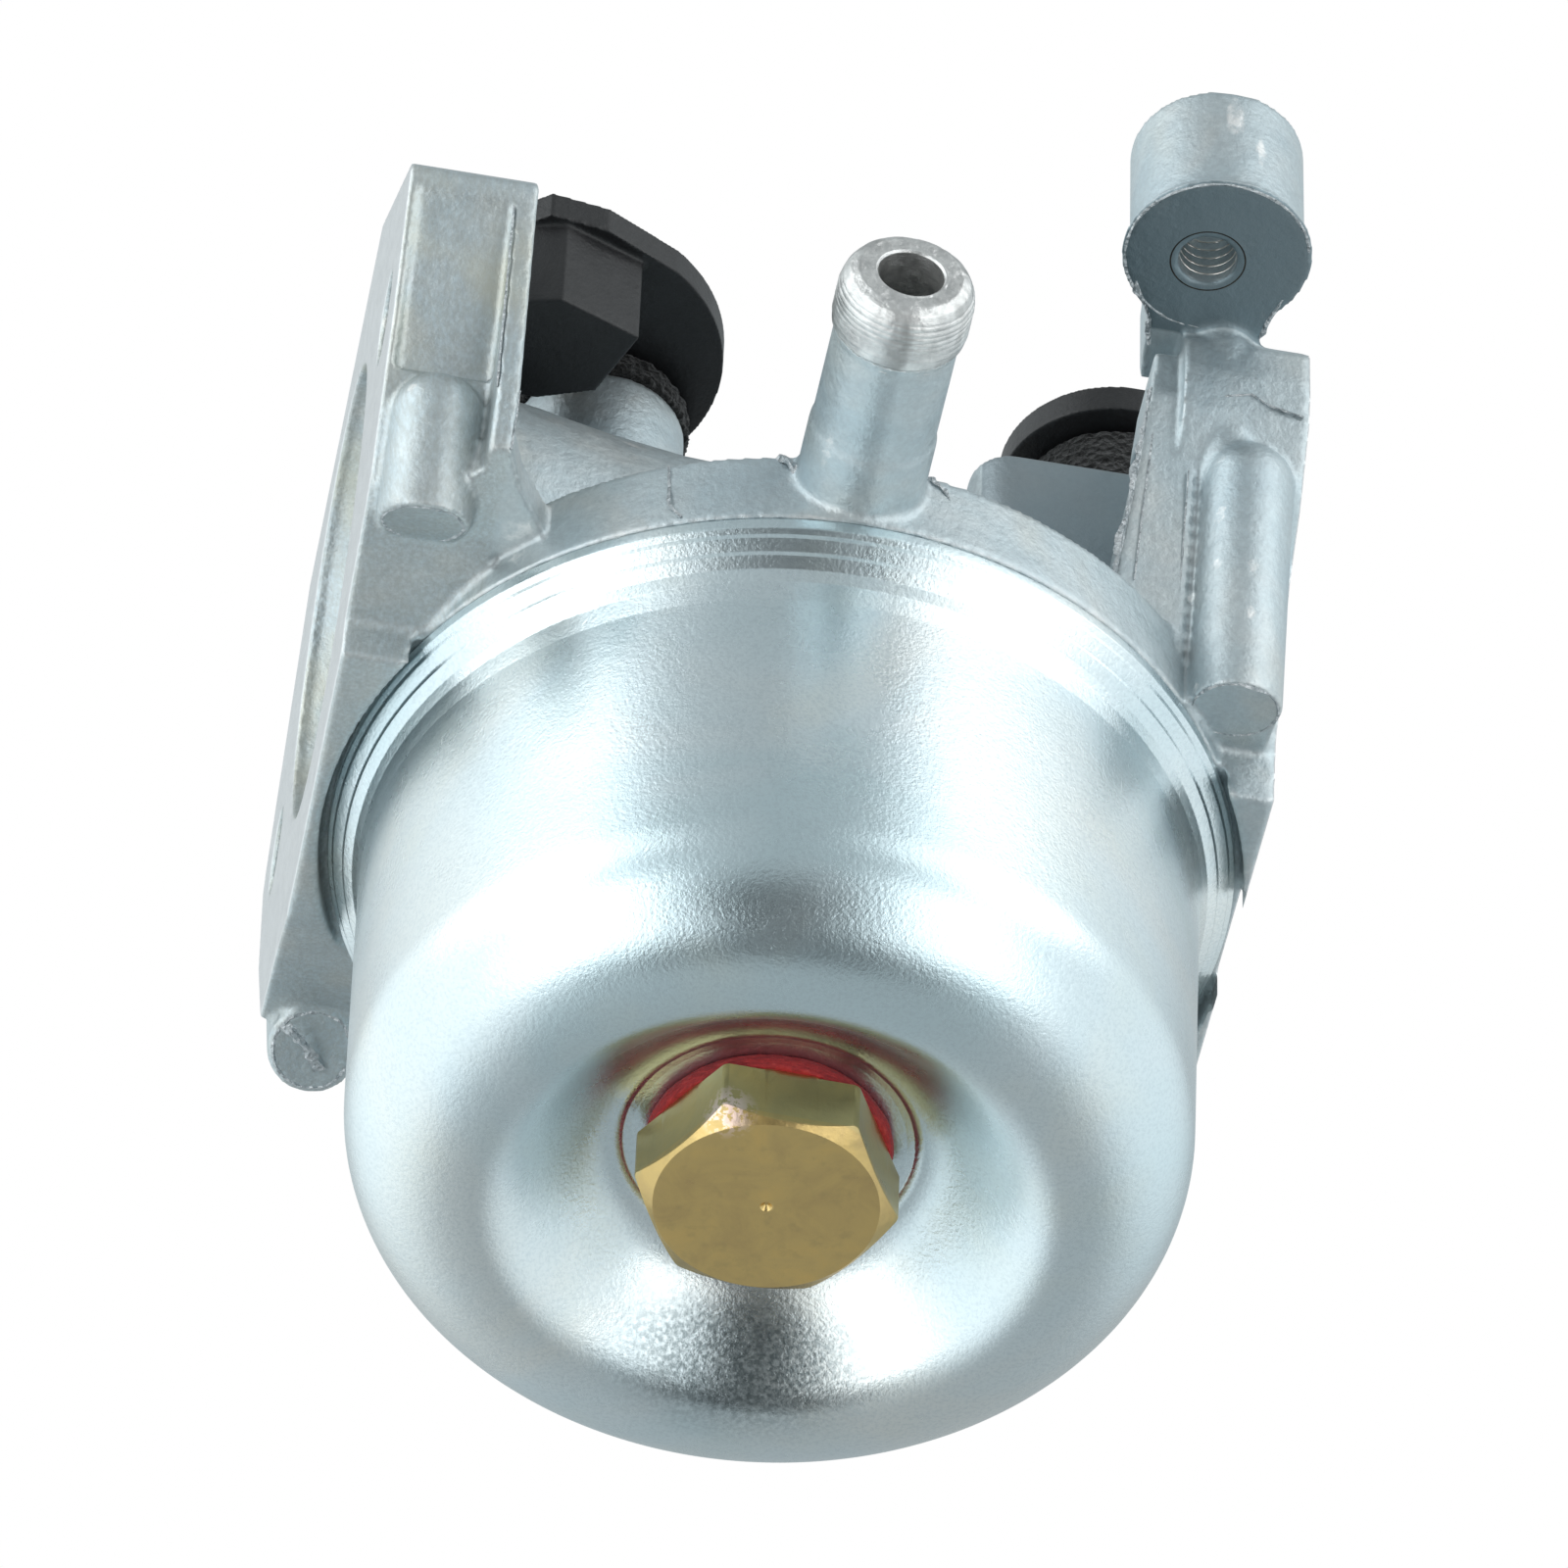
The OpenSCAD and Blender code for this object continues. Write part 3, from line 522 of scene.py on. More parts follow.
def lathe(name, points, segments, material, bend, closed=True):
    """Turns (r, z) points in millimetres about the local Z axis. bend(vector, angle) moves each point."""
    bm = bmesh.new()
    rings = []
    for p in points:
        ring = []
        for i in range(segments):
            a = 2 * math.pi * i / segments
            v = Vector((p[0] * math.cos(a), p[0] * math.sin(a), p[1]))
            ring.append(bm.verts.new(bend(v, a) * MM))
        rings.append(ring)
    pairs = list(zip(rings, rings[1:]))
    if closed:
        pairs.append((rings[-1], rings[0]))
    for a, b in pairs:
        for i in range(segments):
            k = (i + 1) % segments
            bm.faces.new((a[i], a[k], b[k], b[i]))
    return from_bmesh(name, bm, material)


def place(obj, matrix):
    """Moves the mesh, so that its object stays at the origin."""
    obj.data.transform(matrix)
    return obj


def finish_piece(obj, body, slot, *nodes):
    """Sets the body that the piece rides on and hides the CAD nodes that it replaces. slot is not used."""
    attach(obj, body)
    if nodes:
        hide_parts(*nodes)
    return obj


def fractal(p, scale, octaves=3):
    """Signed noise of about -1 to 1 at p in millimetres, with scale in waves per millimetre."""
    total, size = 0.0, 1.0
    q = Vector(p) * scale
    for _ in range(octaves):
        total += noise.noise(q) * size
        q = q * 2.03 + Vector((7.1, 3.3, 5.7))
        size *= 0.5
    return total


# ---------------------------------------------------------------- bowl

RIM_R, BOWL_R, DEPTH, SHEET = 25.3, 23.35, 28.3, 0.8
FOOT_R, SHOULDER, DISH, SEAT_R = 23.1, 7.0, 5.8, 7.9
BOLT_HOLE_R, SEAT_LIP = 4.25, 0.35


def bowl_profile():
    """Outline of the drawn sheet: down its outer side from the rim, and back up its inner side."""
    ring_r = FOOT_R - SHOULDER
    outer = rounded([
        (BOWL_R - SHEET + 0.05, 0, 0.1), (RIM_R, 0, 0.18), (RIM_R, -0.82, 0.22), (RIM_R - 0.28, -1.02, 0.12),
        (RIM_R - 0.36, -1.26, 0.16), (RIM_R - 0.92, -1.74, 0.25), (RIM_R - 0.98, -1.96, 0.12),
        (RIM_R - 1.5, -2.5, 0.35), (RIM_R - 1.78, -3.2, 0.5), (BOWL_R, -4.5, 0.9), (BOWL_R - 0.05, -8),
        (FOOT_R + 0.02, SHOULDER - DEPTH + 1.0)], 0.15, 6)
    steps = 26
    outer += [Vector((ring_r + SHOULDER * math.cos(a), SHOULDER - DEPTH - SHOULDER * math.sin(a)))
              for a in (math.pi / 2 * i / steps for i in range(steps + 1))]
    steps = 30
    outer += [Vector((ring_r + (SEAT_R + SEAT_LIP - ring_r) * t,
                      -DEPTH + (DISH - SEAT_LIP) * (1 - math.cos(math.pi * t)) / 2))
              for t in (i / steps for i in range(1, steps + 1))]
    outer += rounded([(SEAT_R + 0.3, -DEPTH + DISH - 0.34), (SEAT_R + 0.05, -DEPTH + DISH - 0.05, 0.2),
                      (SEAT_R - 0.4, -DEPTH + DISH), (BOLT_HOLE_R, -DEPTH + DISH)], 0.2, 4)[1:]
    inner = [Vector((BOLT_HOLE_R, -DEPTH + DISH + SHEET))]
    steps = 12
    inner += [Vector((SEAT_R + (ring_r - SEAT_R) * t,
                      SHEET - DEPTH + (DISH - SEAT_LIP) * (1 + math.cos(math.pi * t)) / 2))
              for t in (i / steps for i in range(steps + 1))]
    steps = 10
    bend_r = SHOULDER - SHEET
    inner += [Vector((ring_r + bend_r * math.cos(a), SHOULDER - DEPTH - bend_r * math.sin(a)))
              for a in (math.pi / 2 * (1 - i / steps) for i in range(1, steps + 1))]
    inner += [Vector((BOWL_R - SHEET, -3.9))]
    return subdivided(outer, 0.9) + subdivided(inner, 2.0)


def make_bowl():
    def bend(v, angle):
        # the drawn sheet is never quite round: a few hundredths of a millimetre of long waves
        wave = 0.028 * math.sin(2 * angle + 0.6) + 0.014 * math.sin(3 * angle + v.z * 0.09)
        radial = Vector((math.cos(angle), math.sin(angle), 0))
        below_rim = min(1.0, -v.z / 6)
        return v + radial * wave * below_rim * (v.x ** 2 + v.y ** 2) ** 0.5 / BOWL_R

    obj = lathe("bowl_shell", bowl_profile(), 256, PLATED, bend)
    place(obj, Matrix.Translation(RIM_CENTRE))
    shade(obj, 50)
    return finish_piece(obj, "casting", "zinc_plated_steel", "float_bowl")


make_bowl()

# ---------------------------------------------------------------- bolt and washer

BOLT_AF, HEAD_H, STEM_R, STEM_TOP = 12.7, 4.0, 3.92, -15.5
BOLT_TURN, CHAMFER = math.radians(1.6), math.radians(33)
SEAT_Z = -DEPTH + DISH
WASHER_T = 1.0


def make_bolt():
    """Hex head with rounded corners, a turned chamfer and a centre punch, on its stem."""
    head_z = SEAT_Z - WASHER_T
    segments = 360
    chamfer_r = BOLT_AF / 2 * 0.96
    corner_r = BOLT_AF / 2 * 1.142

    def hex_r(a):
        corner = (a - BOLT_TURN) % (math.pi / 3) - math.pi / 6
        flat = BOLT_AF / 2 / math.cos(corner)
        return min(flat, corner_r)

    def section(r, drop_z):
        """(radius, height) of each ring, from the washer to the bottom of the centre punch."""
        face = -HEAD_H
        return [(min(r, BOLT_AF / 2 * 1.02), 0), (r, -0.12), (r, face + drop_z + 0.10),
                (r - 0.03, face + drop_z + 0.03),
                (r - 0.10, face + drop_z - 0.02), (min(r - 0.14, chamfer_r + 0.04), face + 0.015),
                (min(r - 0.2, chamfer_r - 0.06), face), (5.0, face), (3.2, face), (1.6, face), (0.8, face),
                (0.5, face), (0.42, face), (0.34, face + 0.02), (0.24, face + 0.12), (0.1, face + 0.24)]

    bm = bmesh.new()
    spots = [2 * math.pi * i / segments for i in range(segments)]
    sections = [section(hex_r(a), max(0.0, hex_r(a) - chamfer_r) * math.tan(CHAMFER)) for a in spots]
    rows = []
    for j in range(len(sections[0])):
        rows.append([bm.verts.new(Vector((sections[i][j][0] * math.cos(a), sections[i][j][0] * math.sin(a),
                                          head_z + sections[i][j][1])) * MM) for i, a in enumerate(spots)])
    for a, b in zip(rows, rows[1:]):
        for i in range(segments):
            k = (i + 1) % segments
            bm.faces.new((a[i], a[k], b[k], b[i]))
    bm.faces.new(rows[-1])
    below = [bm.verts.new(Vector((STEM_R * math.cos(a), STEM_R * math.sin(a), head_z)) * MM) for a in spots]
    above = [bm.verts.new(Vector((v.co.x, v.co.y, STEM_TOP * MM))) for v in below]
    for i in range(segments):
        k = (i + 1) % segments
        bm.faces.new((below[i], below[k], rows[0][k], rows[0][i]))
        bm.faces.new((above[i], above[k], below[k], below[i]))
    bm.faces.new(above)
    obj = from_bmesh("bolt_hex", bm, BRASS)
    place(obj, Matrix.Translation(RIM_CENTRE))
    shade(obj, 14)
    return finish_piece(obj, "casting", "brass", "bowl_bolt")


def make_washer():
    """Fibre washer with a worn, slightly uneven rim."""
    top, low = SEAT_Z, SEAT_Z - WASHER_T
    bore_r, rim_r, belly = 4.05, 6.65, 0.13
    points = subdivided(rounded([(bore_r, top), (rim_r, top, 0.2), (rim_r + belly, (top + low) / 2, 0.5),
                                 (rim_r, low, 0.2), (bore_r, low)], 0.15, 4), 0.3)

    def bend(v, angle):
        grow = 0.05 * fractal(v, 0.9) + 0.03 * fractal(v, 3.0)
        return v + Vector((math.cos(angle), math.sin(angle), 0)) * (grow if v.length > 6 else 0)

    obj = lathe("washer_fibre", points, 240, FIBRE, bend)
    place(obj, Matrix.Translation(RIM_CENTRE))
    shade(obj, 50)
    return finish_piece(obj, "casting", "red_fibre", "bolt_washer")


make_bolt()
make_washer()

# ---------------------------------------------------------------- casting

SPIGOT_X, SPIGOT_Z, SPIGOT_TIP = -0.3, 3.9, -40.0
NOSE_BACK = -36.1
BOSS = Vector((19.1, -27.5, 25.0))
BOSS_R, BOSS_H = 4.9, 8.8
SKIN_VOXEL, SKIN_KEEP = 0.24, 0.42
LEVER_VOXEL, LEVER_KEEP = 0.13, 0.5


def cad_copy(name, node):
    """New object with its own copy of a CAD node's mesh."""
    mesh = NODES[node].data.copy()
    mesh.materials.clear()
    obj = bpy.data.objects.new(name, mesh)
    bpy.context.scene.collection.objects.link(obj)
    return obj


def cut(obj, tool):
    """Takes the tool out of obj, and deletes the tool."""
    modify(obj, "BOOLEAN", operation="DIFFERENCE", object=tool, solver="EXACT")
    drop(tool)
    return obj


def rod(start, end, radius, segments=64):
    """Closed cylinder between two points in millimetres."""
    a, b = at(*start), at(*end)
    bm = bmesh.new()
    bmesh.ops.create_cone(bm, cap_ends=True, segments=segments, radius1=radius * MM, radius2=radius * MM,
                          depth=(b - a).length)
    turn = (b - a).to_track_quat("Z", "Y").to_matrix().to_4x4()
    bm.transform(Matrix.Translation((a + b) / 2) @ turn)
    return from_bmesh("rod", bm, None)


def skin_of(name, node, voxel, ratio, *tools):
    """Copy of a CAD node with the tools cut out of it and all its edges softened."""
    skin = cad_copy(name, node)
    for tool in tools:
        cut(skin, tool)
    modify(skin, "REMESH", mode="VOXEL", voxel_size=voxel * MM, adaptivity=0.0)
    modify(skin, "SMOOTH", iterations=2, factor=0.45)
    return modify(skin, "DECIMATE", decimate_type="COLLAPSE", ratio=ratio)


def make_casting():
    """Skin of the casting, without the spigot's nose and the tapped hole, which are pieces of their own."""
    nose = rod((SPIGOT_X, SPIGOT_TIP - 1, SPIGOT_Z), (SPIGOT_X, NOSE_BACK, SPIGOT_Z), 6)
    hole = rod((THREAD.x, THREAD.y, THREAD.z - 2), (THREAD.x, THREAD.y, THREAD.z + BOSS_H + 2), 2.12)
    skin = skin_of("casting_skin", "body_casting", SKIN_VOXEL, SKIN_KEEP, nose, hole)
    skin.data.materials.append(ZINC)
    shade(skin, 60)
    return finish_piece(skin, "casting", "zinc_casting", "body_casting")


make_casting()


def make_spigot_nose():
    """Turned nose of the spigot with its tool rings and the mouth of the bore."""
    length = NOSE_BACK - SPIGOT_TIP
    points = rounded([(1.8, length + 0.5), (1.8, 0.12, 0.1), (1.92, 0, 0.05), (2.85, 0.0, 0.35), (3.3, 0.28, 0.4),
                      (3.62, 0.85, 0.5), (3.75, 1.5, 0.5), (3.75, 3.2, 0.4), (3.66, 3.75, 0.15),
                      (3.44, length + 0.1, 0.05), (3.42, length + 0.5)], 0.3, 5)
    points = subdivided(points, 0.06)
    # (distance from the tip, depth) of each tool groove
    grooves = [(0.85, 0.10), (1.2, 0.12), (1.55, 0.10), (1.9, 0.11), (2.25, 0.07), (2.6, 0.035),
               (3.0, 0.03), (3.4, 0.02)]
    groove_w, bore_reach = 0.07, 2.0

    def bend(v, angle):
        r = math.hypot(v.x, v.y)
        if r < bore_reach:
            return v
        spot = Vector((math.cos(angle), math.sin(angle), 0))
        z = v.z + 0.07 * math.sin(angle + 0.8) + 0.03 * noise.noise(spot * 3)
        fade = 0.65 + 0.35 * math.sin(angle + 2.2 + 1.5 * noise.noise(spot))
        groove = sum(d * math.exp(-((z - c) / groove_w) ** 2) for c, d in grooves) * fade
        chip = 0.05 * max(0.0, fractal(v, 1.3)) if v.z < 1.0 else 0.0
        return v - spot * (groove + 0.012 * fractal(v, 2.2)) + Vector((0, 0, chip))

    nose = lathe("spigot_nose", points, 256, MACHINED, bend, closed=False)
    turn = Matrix.Rotation(math.radians(-90), 4, "X")
    place(nose, Matrix.Translation(at(SPIGOT_X, SPIGOT_TIP, SPIGOT_Z)) @ turn)
    shade(nose, 60)
    return finish_piece(nose, "casting", "zinc_casting")


def make_boss_thread():
    """Internal M4 thread of the boss, as one tube with a helical inner wall."""
    segments, per_turn = 72, 20
    rows = int(BOSS_H / THREAD_PITCH * per_turn)
    angles = [2 * math.pi * i / segments for i in range(segments)]
    bm = bmesh.new()
    rings = []
    for j in range(rows + 1):
        z = BOSS_H * j / rows
        ring = []
        for i, a in enumerate(angles):
            phase = (z / THREAD_PITCH - i / segments) % 1.0
            tooth = 1 - abs(2 * phase - 1)
            # the crests and roots are flat for about an eighth of the pitch
            r = THREAD_CREST + (THREAD_ROOT - THREAD_CREST) * min(1.0, max(0.0, (tooth - 0.12) / 0.76))
            mouth = min(z, BOSS_H - z)
            r = max(r, THREAD_ROOT + 0.06 - mouth)
            ring.append(bm.verts.new(Vector((r * math.cos(a), r * math.sin(a), z)) * MM))
        rings.append(ring)
    for z in (BOSS_H, 0.0):
        rings.append([bm.verts.new(Vector((THREAD_SLEEVE * math.cos(a), THREAD_SLEEVE * math.sin(a), z)) * MM)
                      for a in angles])
    rings.append(rings[0])
    for a, b in zip(rings, rings[1:]):
        for i in range(segments):
            k = (i + 1) % segments
            bm.faces.new((a[i], a[k], b[k], b[i]))
    obj = from_bmesh("boss_thread", bm, THREAD_MAT)
    place(obj, Matrix.Translation(at(*THREAD)))
    shade(obj, 40)
    return finish_piece(obj, "casting", "zinc_casting")


def ribbon(bm, points, out, width, height, seed, step=0.11):
    """Adds a thin ragged ridge of flash along points (millimetres), raised toward out."""
    points = subdivided([Vector(p) for p in points], step)
    out = Vector(out).normalized()
    last = None
    for i, p in enumerate(points):
        way = (points[min(i + 1, len(points) - 1)] - points[max(i - 1, 0)]).normalized()
        side = way.cross(out).normalized()
        ends = min(1.0, i / 4, (len(points) - 1 - i) / 4)
        rough = fractal(p + Vector((seed * 3.7, 0, seed)), 0.7, 3)
        tall = height * max(0.05, 0.35 + 0.8 * rough) * ends
        half = width * (0.6 + 0.3 * fractal(p + Vector((0, seed * 5.1, 0)), 2.3, 2))
        lean = side * half * 0.5 * fractal(p + Vector((seed, seed, 0)), 0.8, 2)
        ring = [bm.verts.new(at(*q)) for q in
                (p - side * half, p + out * tall + lean, p + side * half, p - out * 0.2)]
        if last is not None:
            for k in range(4):
                m = (k + 1) % 4
                bm.faces.new((last[k], last[m], ring[m], ring[k]))
        else:
            bm.faces.new(ring[::-1])
        last = ring
    bm.faces.new(last)


def circle(centre, axis, radius, start=0, end=360, wobble=0.0, steps=60):
    """Points round centre, in the plane square to axis. Angles are in degrees."""
    axis = Vector(axis).normalized()
    u = axis.orthogonal().normalized() if abs(axis.z) < 0.5 else Vector((1, 0, 0))
    u = (u - axis * u.dot(axis)).normalized()
    v = axis.cross(u)
    out = []
    for i in range(steps + 1):
        a = math.radians(start + (end - start) * i / steps)
        r = radius + wobble * noise.noise(Vector((math.cos(a), math.sin(a), radius)) * 2)
        out.append(Vector(centre) + u * r * math.cos(a) + v * r * math.sin(a))
    return out


def make_flash():
    """Ragged flash and torn edges that the die left on the casting."""
    bm = bmesh.new()
    air_lean, engine_lean = math.radians(26), math.radians(13)
    # round the lower ends of the pillars
    for side in (1, -1):
        foot = 19.8 if side > 0 else 20.6
        axis = Vector((0, -math.sin(air_lean) * side, math.cos(air_lean)))
        centre = Vector((-23.4, -side * foot, 0.8))
        ribbon(bm, circle(centre, axis, 2.25, 0, 360, 0.12), -axis, 0.16, 0.14, 3 + side)
        axis = Vector((0, -math.sin(engine_lean) * side, math.cos(engine_lean)))
        ribbon(bm, circle((22.5, -side * 16, 0.3), axis, 2.4, 0, 360, 0.08), -axis, 0.14, 0.16, 7 + side)
    # round the underside of the boss, and where its neck tore
    ribbon(bm, circle(BOSS, (0, 0, 1), BOSS_R + 0.3, 75, 345, 0.1), (0, -0.3, -1), 0.14, 0.2, 11)
    ribbon(bm, [(14.95, -24.9, 25), (15.6, -23.6, 25), (16.2, -22.4, 25), (16.5, -20.8, 24.6)], (-1, 0.1, -0.4),
           0.2, 0.5, 13)
    ribbon(bm, [(23.4, -25.2, 25), (22.9, -23.6, 25), (22.7, -22.2, 25)], (1, 0, -0.5), 0.15, 0.3, 14)
    # torn edge of the gusset and the bright line beside it
    ribbon(bm, [(15.05, -17.5, 6.2), (15.6, -18.9, 11), (16.2, -20.2, 16), (16.6, -21.2, 20.4)], (-1, -0.3, 0),
           0.22, 0.6, 17)
    ribbon(bm, [(16.4, -18.0, 7.6), (16.6, -19.2, 12), (16.9, -20.6, 17.5)], (0, -1, -0.25), 0.08, 0.07, 18)
    ribbon(bm, [(19.0, -16.4, 3.2), (19.0, -18.3, 9), (19.0, -20.2, 15)], (0, -1, -0.2), 0.07, 0.05, 19)
    # scraped line on the rib of the air flange, flash on its ledge and the crack on the engine flange
    ribbon(bm, [(-20.7, -26.9, 4.9), (-20.7, -27.8, 12), (-20.7, -28.6, 18.3)], (0, -1, -0.12), 0.09, 0.10, 23)
    ribbon(bm, [(-19.45, -24.9, 2.1), (-19.45, -25.9, 3.6), (-19.45, -26.85, 4.8)],
           (0.3, -1, -0.3), 0.12, 0.2, 24)
    ribbon(bm, [(-10.6, -23.15, 4.9), (-10.5, -23.2, 3.2), (-10.5, -23.2, 1.6), (-9.8, -23.5, 0.4)],
           (0.1, -1, -0.2), 0.16, 0.26, 29)
    ribbon(bm, [(20.7, -22.0, 19.7), (22.2, -22.1, 20.1), (23.4, -22.1, 19.3), (25.2, -22.05, 18.9)],
           (0, -1, -0.4), 0.10, 0.16, 31)
    # sprue remains at the root of the spigot
    ribbon(bm, [(-4.9, -24.9, 5.0), (-4.3, -25.3, 4.3), (-3.7, -25.3, 3.2)], (-0.8, -1, 0), 0.35, 0.7, 37)
    ribbon(bm, [(3.3, -25.2, 4.9), (4.2, -25.1, 4.4), (4.8, -24.9, 3.6)], (0.6, -1, 0.3), 0.3, 0.6, 41)
    # broken stub behind the rear pillar of the air flange
    ribbon(bm, [(-25.2, 18.4, 0.1), (-23.9, 19.6, 0.0), (-22.8, 21.6, 0.2)], (0, 0, -1), 0.5, 0.5, 43)
    flash = from_bmesh("casting_flash", bm, TORN)
    shade(flash, 30)
    return finish_piece(flash, "casting", "zinc_casting")


make_spigot_nose()
make_boss_thread()
make_flash()

# ---------------------------------------------------------------- foam seals


def make_foam(name, node):
    """Foam ring with a pitted outer face, in place of a CAD seal."""
    lo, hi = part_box(node)
    centre = Vector(((lo.x + hi.x) / 2, (lo.y + hi.y) / 2, lo.z))
    r = (hi.x - lo.x) / 2 / MM
    h = (hi.z - lo.z) / MM
    inner, room, inset = 2.55, 0.05, 0.1
    points = subdivided(rounded([(inner, room), (r - inset, room, 0.3), (r - inset, h - room, 0.3),
                                 (inner, h - room)], 0.3, 4), 0.16)

    def bend(v, angle):
        radius = math.hypot(v.x, v.y)
        if radius < inner + 0.4:
            return v
        pore = fractal(v, 1.6, 2) * 0.14 + fractal(v, 4.5, 2) * 0.10 - 0.08
        return v + Vector((math.cos(angle), math.sin(angle), 0)) * min(pore, 0.08)

    obj = lathe(name, points, 220, FOAM, bend)
    place(obj, Matrix.Translation(centre))
    return finish_piece(obj, "casting", "black_foam", node)


make_foam("choke_foam", "choke_seal")
make_foam("throttle_foam", "throttle_seal")


def make_lever(name, node, body):
    """Lever with its moulded edges softened."""
    lever = skin_of(name, node, LEVER_VOXEL, LEVER_KEEP)
    lever.data.materials.append(PLASTIC)
    shade(lever, 60)
    return finish_piece(lever, body, "black_plastic", node)


make_lever("choke_lever_skin", "choke_lever", "choke")
make_lever("throttle_lever_skin", "throttle_lever", "throttle")

# ---------------------------------------------------------------- carried-over nodes

KEPT = {
    "bowl_gasket": RUBBER, "float": FLOAT, "float_pin": STEEL, "inlet_needle": STEEL, "needle_clip": STEEL,
    "needle_seat": BRASS, "main_jet": BRASS, "main_nozzle": BRASS, "idle_jet": BRASS, "idle_jet_seal": RUBBER,
    "choke_shaft": PLASTIC, "choke_plate": STEEL, "choke_screws": STEEL,
    "throttle_shaft": PLASTIC, "throttle_plate": BRASS, "throttle_screws": STEEL,
    "idle_chamber_plug": STEEL, "passage_balls": STEEL,
}
for node, material in KEPT.items():
    obj = NODES[node]
    obj.data.materials.clear()
    obj.data.materials.append(material)

# ---------------------------------------------------------------- stage and light


def floor_material():
    """Pale matt floor that is clear when it is looked at from underneath."""
    n = Nodes("pale_floor")
    n.set(Base_Color=n.ramp(n.noise(0.004, 3, 0.5), (0.3, (0.80, 0.80, 0.80)), (0.7, (0.84, 0.84, 0.84))),
          Roughness=0.8)
    clear = n.add("ShaderNodeBsdfTransparent")
    mix = n.add("ShaderNodeMixShader")
    n.put(mix.inputs[0], n.add("ShaderNodeNewGeometry").outputs["Backfacing"])
    n.put(mix.inputs[1], n.shader.outputs[0])
    n.put(mix.inputs[2], clear.outputs[0])
    n.put(n.out.inputs[0], mix.outputs[0])
    return n.mat


def make_floor():
    """Floor at the foot of the bowl, which takes no part in the light on the object."""
    bm = bmesh.new()
    bmesh.ops.create_grid(bm, x_segments=4, y_segments=4, size=3)
    floor = from_bmesh("floor", bm, floor_material(), smooth=False)
    if floor.data.polygons[0].normal.z < 0:
        floor.data.flip_normals()
    floor.location = (RIM_CENTRE.x, RIM_CENTRE.y, CAD_BOX[0].z)
    floor.visible_diffuse = False
    floor.visible_glossy = False
    floor.visible_transmission = False
    floor.visible_shadow = False


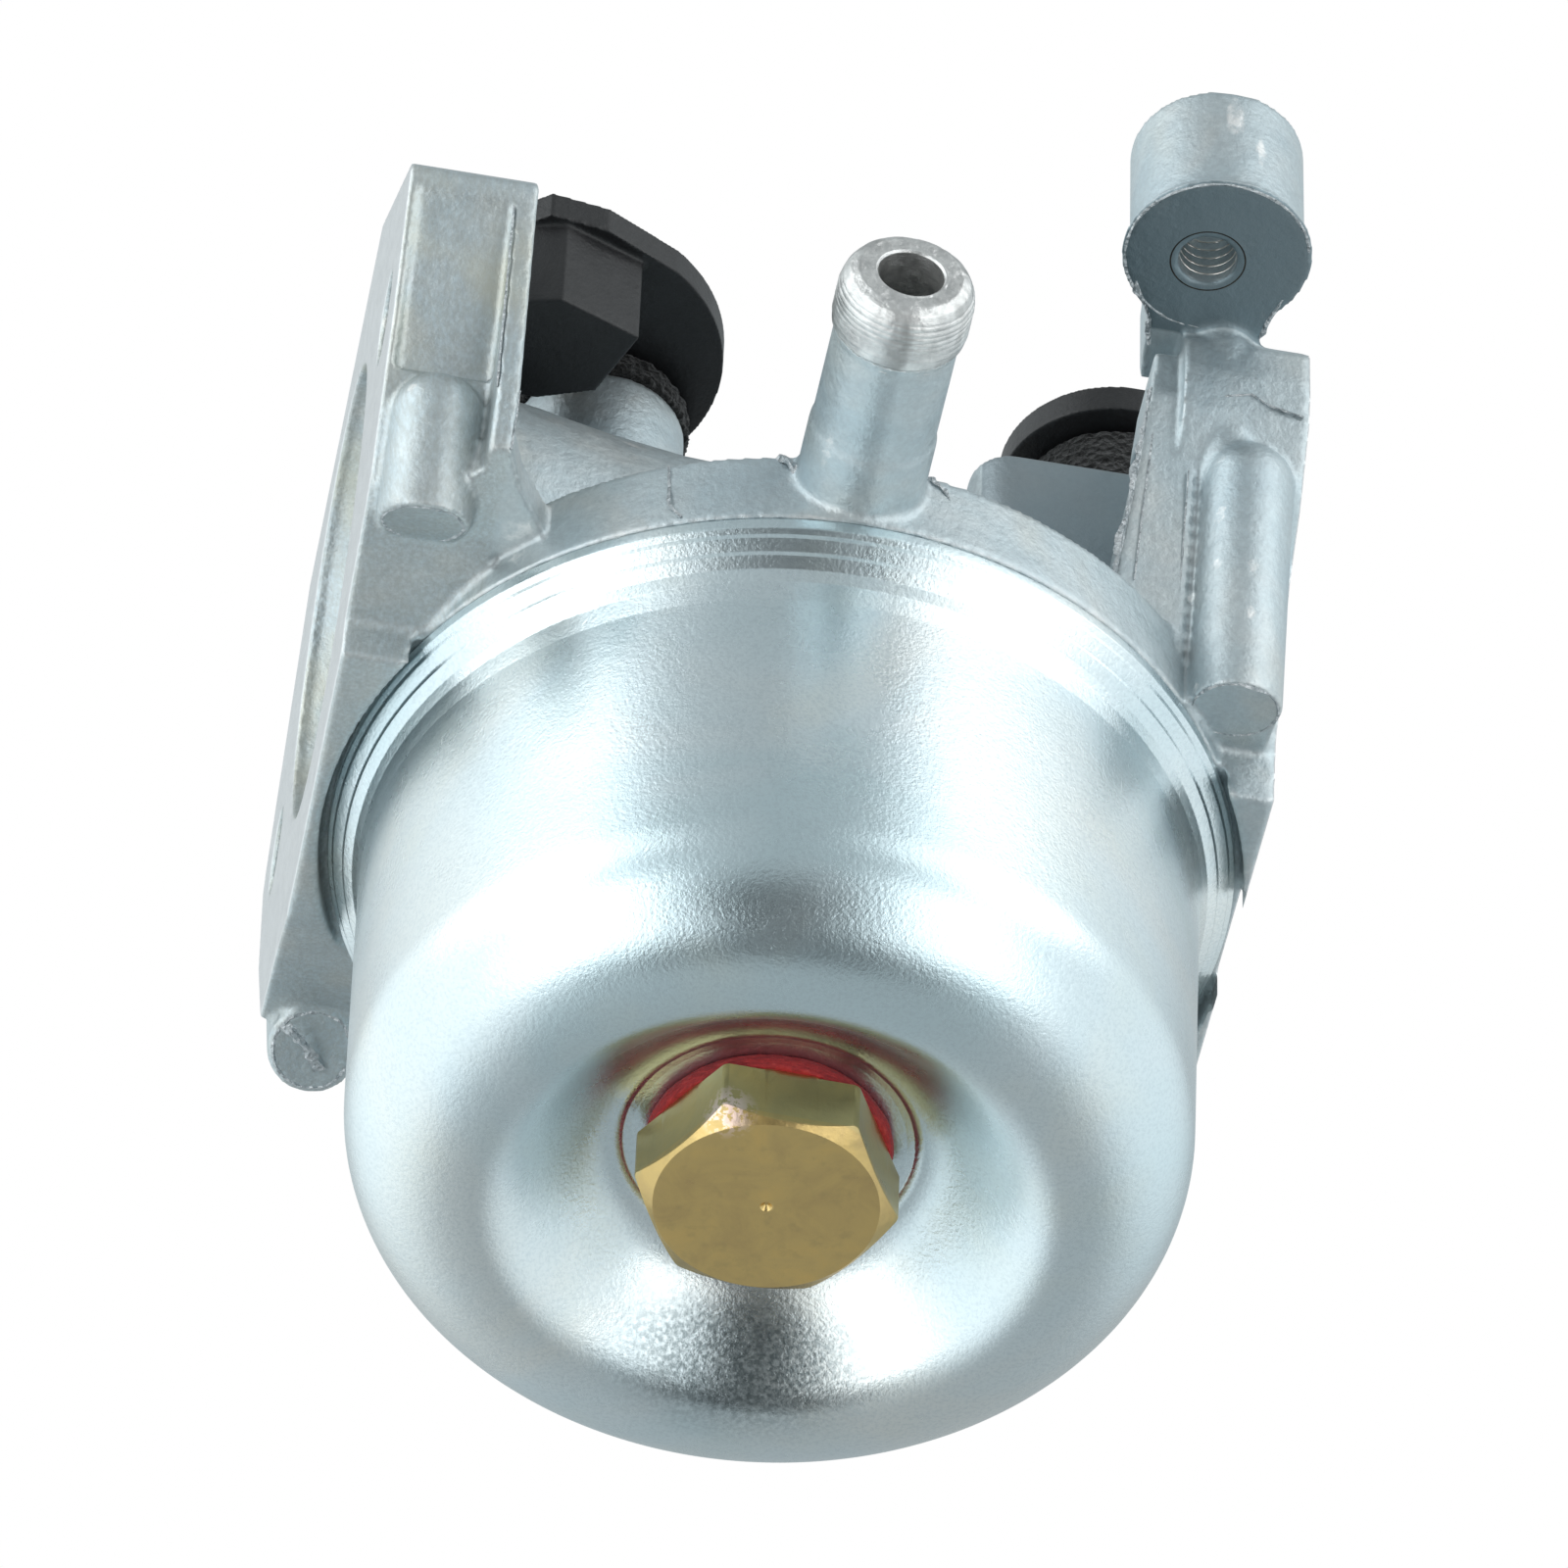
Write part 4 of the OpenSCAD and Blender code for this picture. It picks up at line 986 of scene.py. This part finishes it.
def make_world():
    """Studio tent: white to the camera, pale blue to the part, brighter at both sides and dark round the lens."""
    world = bpy.data.worlds.new("studio")
    world.use_nodes = True
    tree = world.node_tree
    tree.nodes.clear()

    def add(kind, **values):
        node = tree.nodes.new(kind)
        for key, value in values.items():
            setattr(node, key, value)
        return node

    def put(socket, value):
        if isinstance(value, bpy.types.NodeSocket):
            tree.links.new(value, socket)
        else:
            socket.default_value = value

    def calc(op, a, b=0.0, c=0.0):
        node = add("ShaderNodeMath", operation=op)
        for socket, value in zip(node.inputs, (a, b, c)):
            put(socket, value)
        return node.outputs[0]

    def along(axis):
        node = add("ShaderNodeVectorMath", operation="DOT_PRODUCT")
        put(node.inputs[0], way)
        node.inputs[1].default_value = axis
        return node.outputs["Value"]

    def step(value, start, end):
        node = add("ShaderNodeMapRange", interpolation_type="SMOOTHSTEP")
        put(node.inputs[0], value)
        node.inputs[1].default_value, node.inputs[2].default_value = min(start, end), max(start, end)
        node.inputs[3].default_value, node.inputs[4].default_value = (0.0, 1.0) if start < end else (1.0, 0.0)
        return node.outputs[0]

    way = add("ShaderNodeTexCoord").outputs["Generated"]
    across, up, near = calc("ABSOLUTE", along(RIGHT)), along(UP), along(BACK)
    tent = calc("MULTIPLY_ADD", step(across, 0.3, 0.85), 0.54, 0.49)
    tent = calc("MULTIPLY_ADD", step(along(RIGHT), 0.0, -0.8), 0.26, tent)
    tent = calc("MULTIPLY_ADD", step(up, -0.3, -0.9), -0.03, tent)
    lens = calc("MULTIPLY", step(across, 0.42, 0.2), step(near, 0.3, 0.7))
    lens = calc("MULTIPLY", lens, calc("MULTIPLY", step(up, -0.72, -0.6), step(up, 0.7, 0.25)))
    tent = calc("MULTIPLY", tent, calc("MULTIPLY_ADD", lens, -0.82, 1.0))
    out = add("ShaderNodeOutputWorld")
    seen = add("ShaderNodeBackground")
    seen.inputs[0].default_value = (1, 1, 1, 1)
    lit = add("ShaderNodeBackground")
    lit.inputs[0].default_value = (0.90, 0.975, 1.0, 1)
    put(lit.inputs[1], tent)
    mix = add("ShaderNodeMixShader")
    put(mix.inputs[0], add("ShaderNodeLightPath").outputs["Is Camera Ray"])
    put(mix.inputs[1], lit.outputs[0])
    put(mix.inputs[2], seen.outputs[0])
    put(out.inputs[0], mix.outputs[0])
    bpy.context.scene.world = world


BOX_DISTANCE = 0.55


def softbox(name, direction, size, power, spin=0.0):
    """Area light that faces the bowl. direction is (right, up, back) as the camera sees it."""
    data = bpy.data.lights.new(name, "AREA")
    data.shape = "RECTANGLE"
    data.size, data.size_y = size
    data.energy = power
    obj = bpy.data.objects.new(name, data)
    way = (RIGHT * direction[0] + UP * direction[1] + BACK * direction[2]).normalized()
    target = at(0, 0, -6)
    turn = Matrix.Rotation(math.radians(spin), 3, way)
    x = UP.cross(way).normalized()
    y = way.cross(x)
    facing = Matrix((turn @ x, turn @ y, way)).transposed().to_4x4()
    obj.matrix_world = Matrix.Translation(target + way * BOX_DISTANCE) @ facing
    bpy.context.scene.collection.objects.link(obj)


def make_lights():
    """Two large boxes beside the lens, leaning in at the top, and two higher ones at the sides."""
    softbox("left_box", (-0.62, 0.08, 0.78), (0.32, 0.60), 0.80, spin=18)
    softbox("right_box", (0.64, 0.08, 0.77), (0.32, 0.60), 0.80, spin=-18)
    softbox("high_left_box", (-0.72, 0.69, 0.05), (0.42, 0.42), 0.62)
    softbox("high_right_box", (0.72, 0.69, 0.05), (0.42, 0.42), 0.62)


make_floor()
make_world()
make_lights()
bpy.context.scene.view_settings.view_transform = "Standard"
bpy.context.scene.view_settings.look = "None"
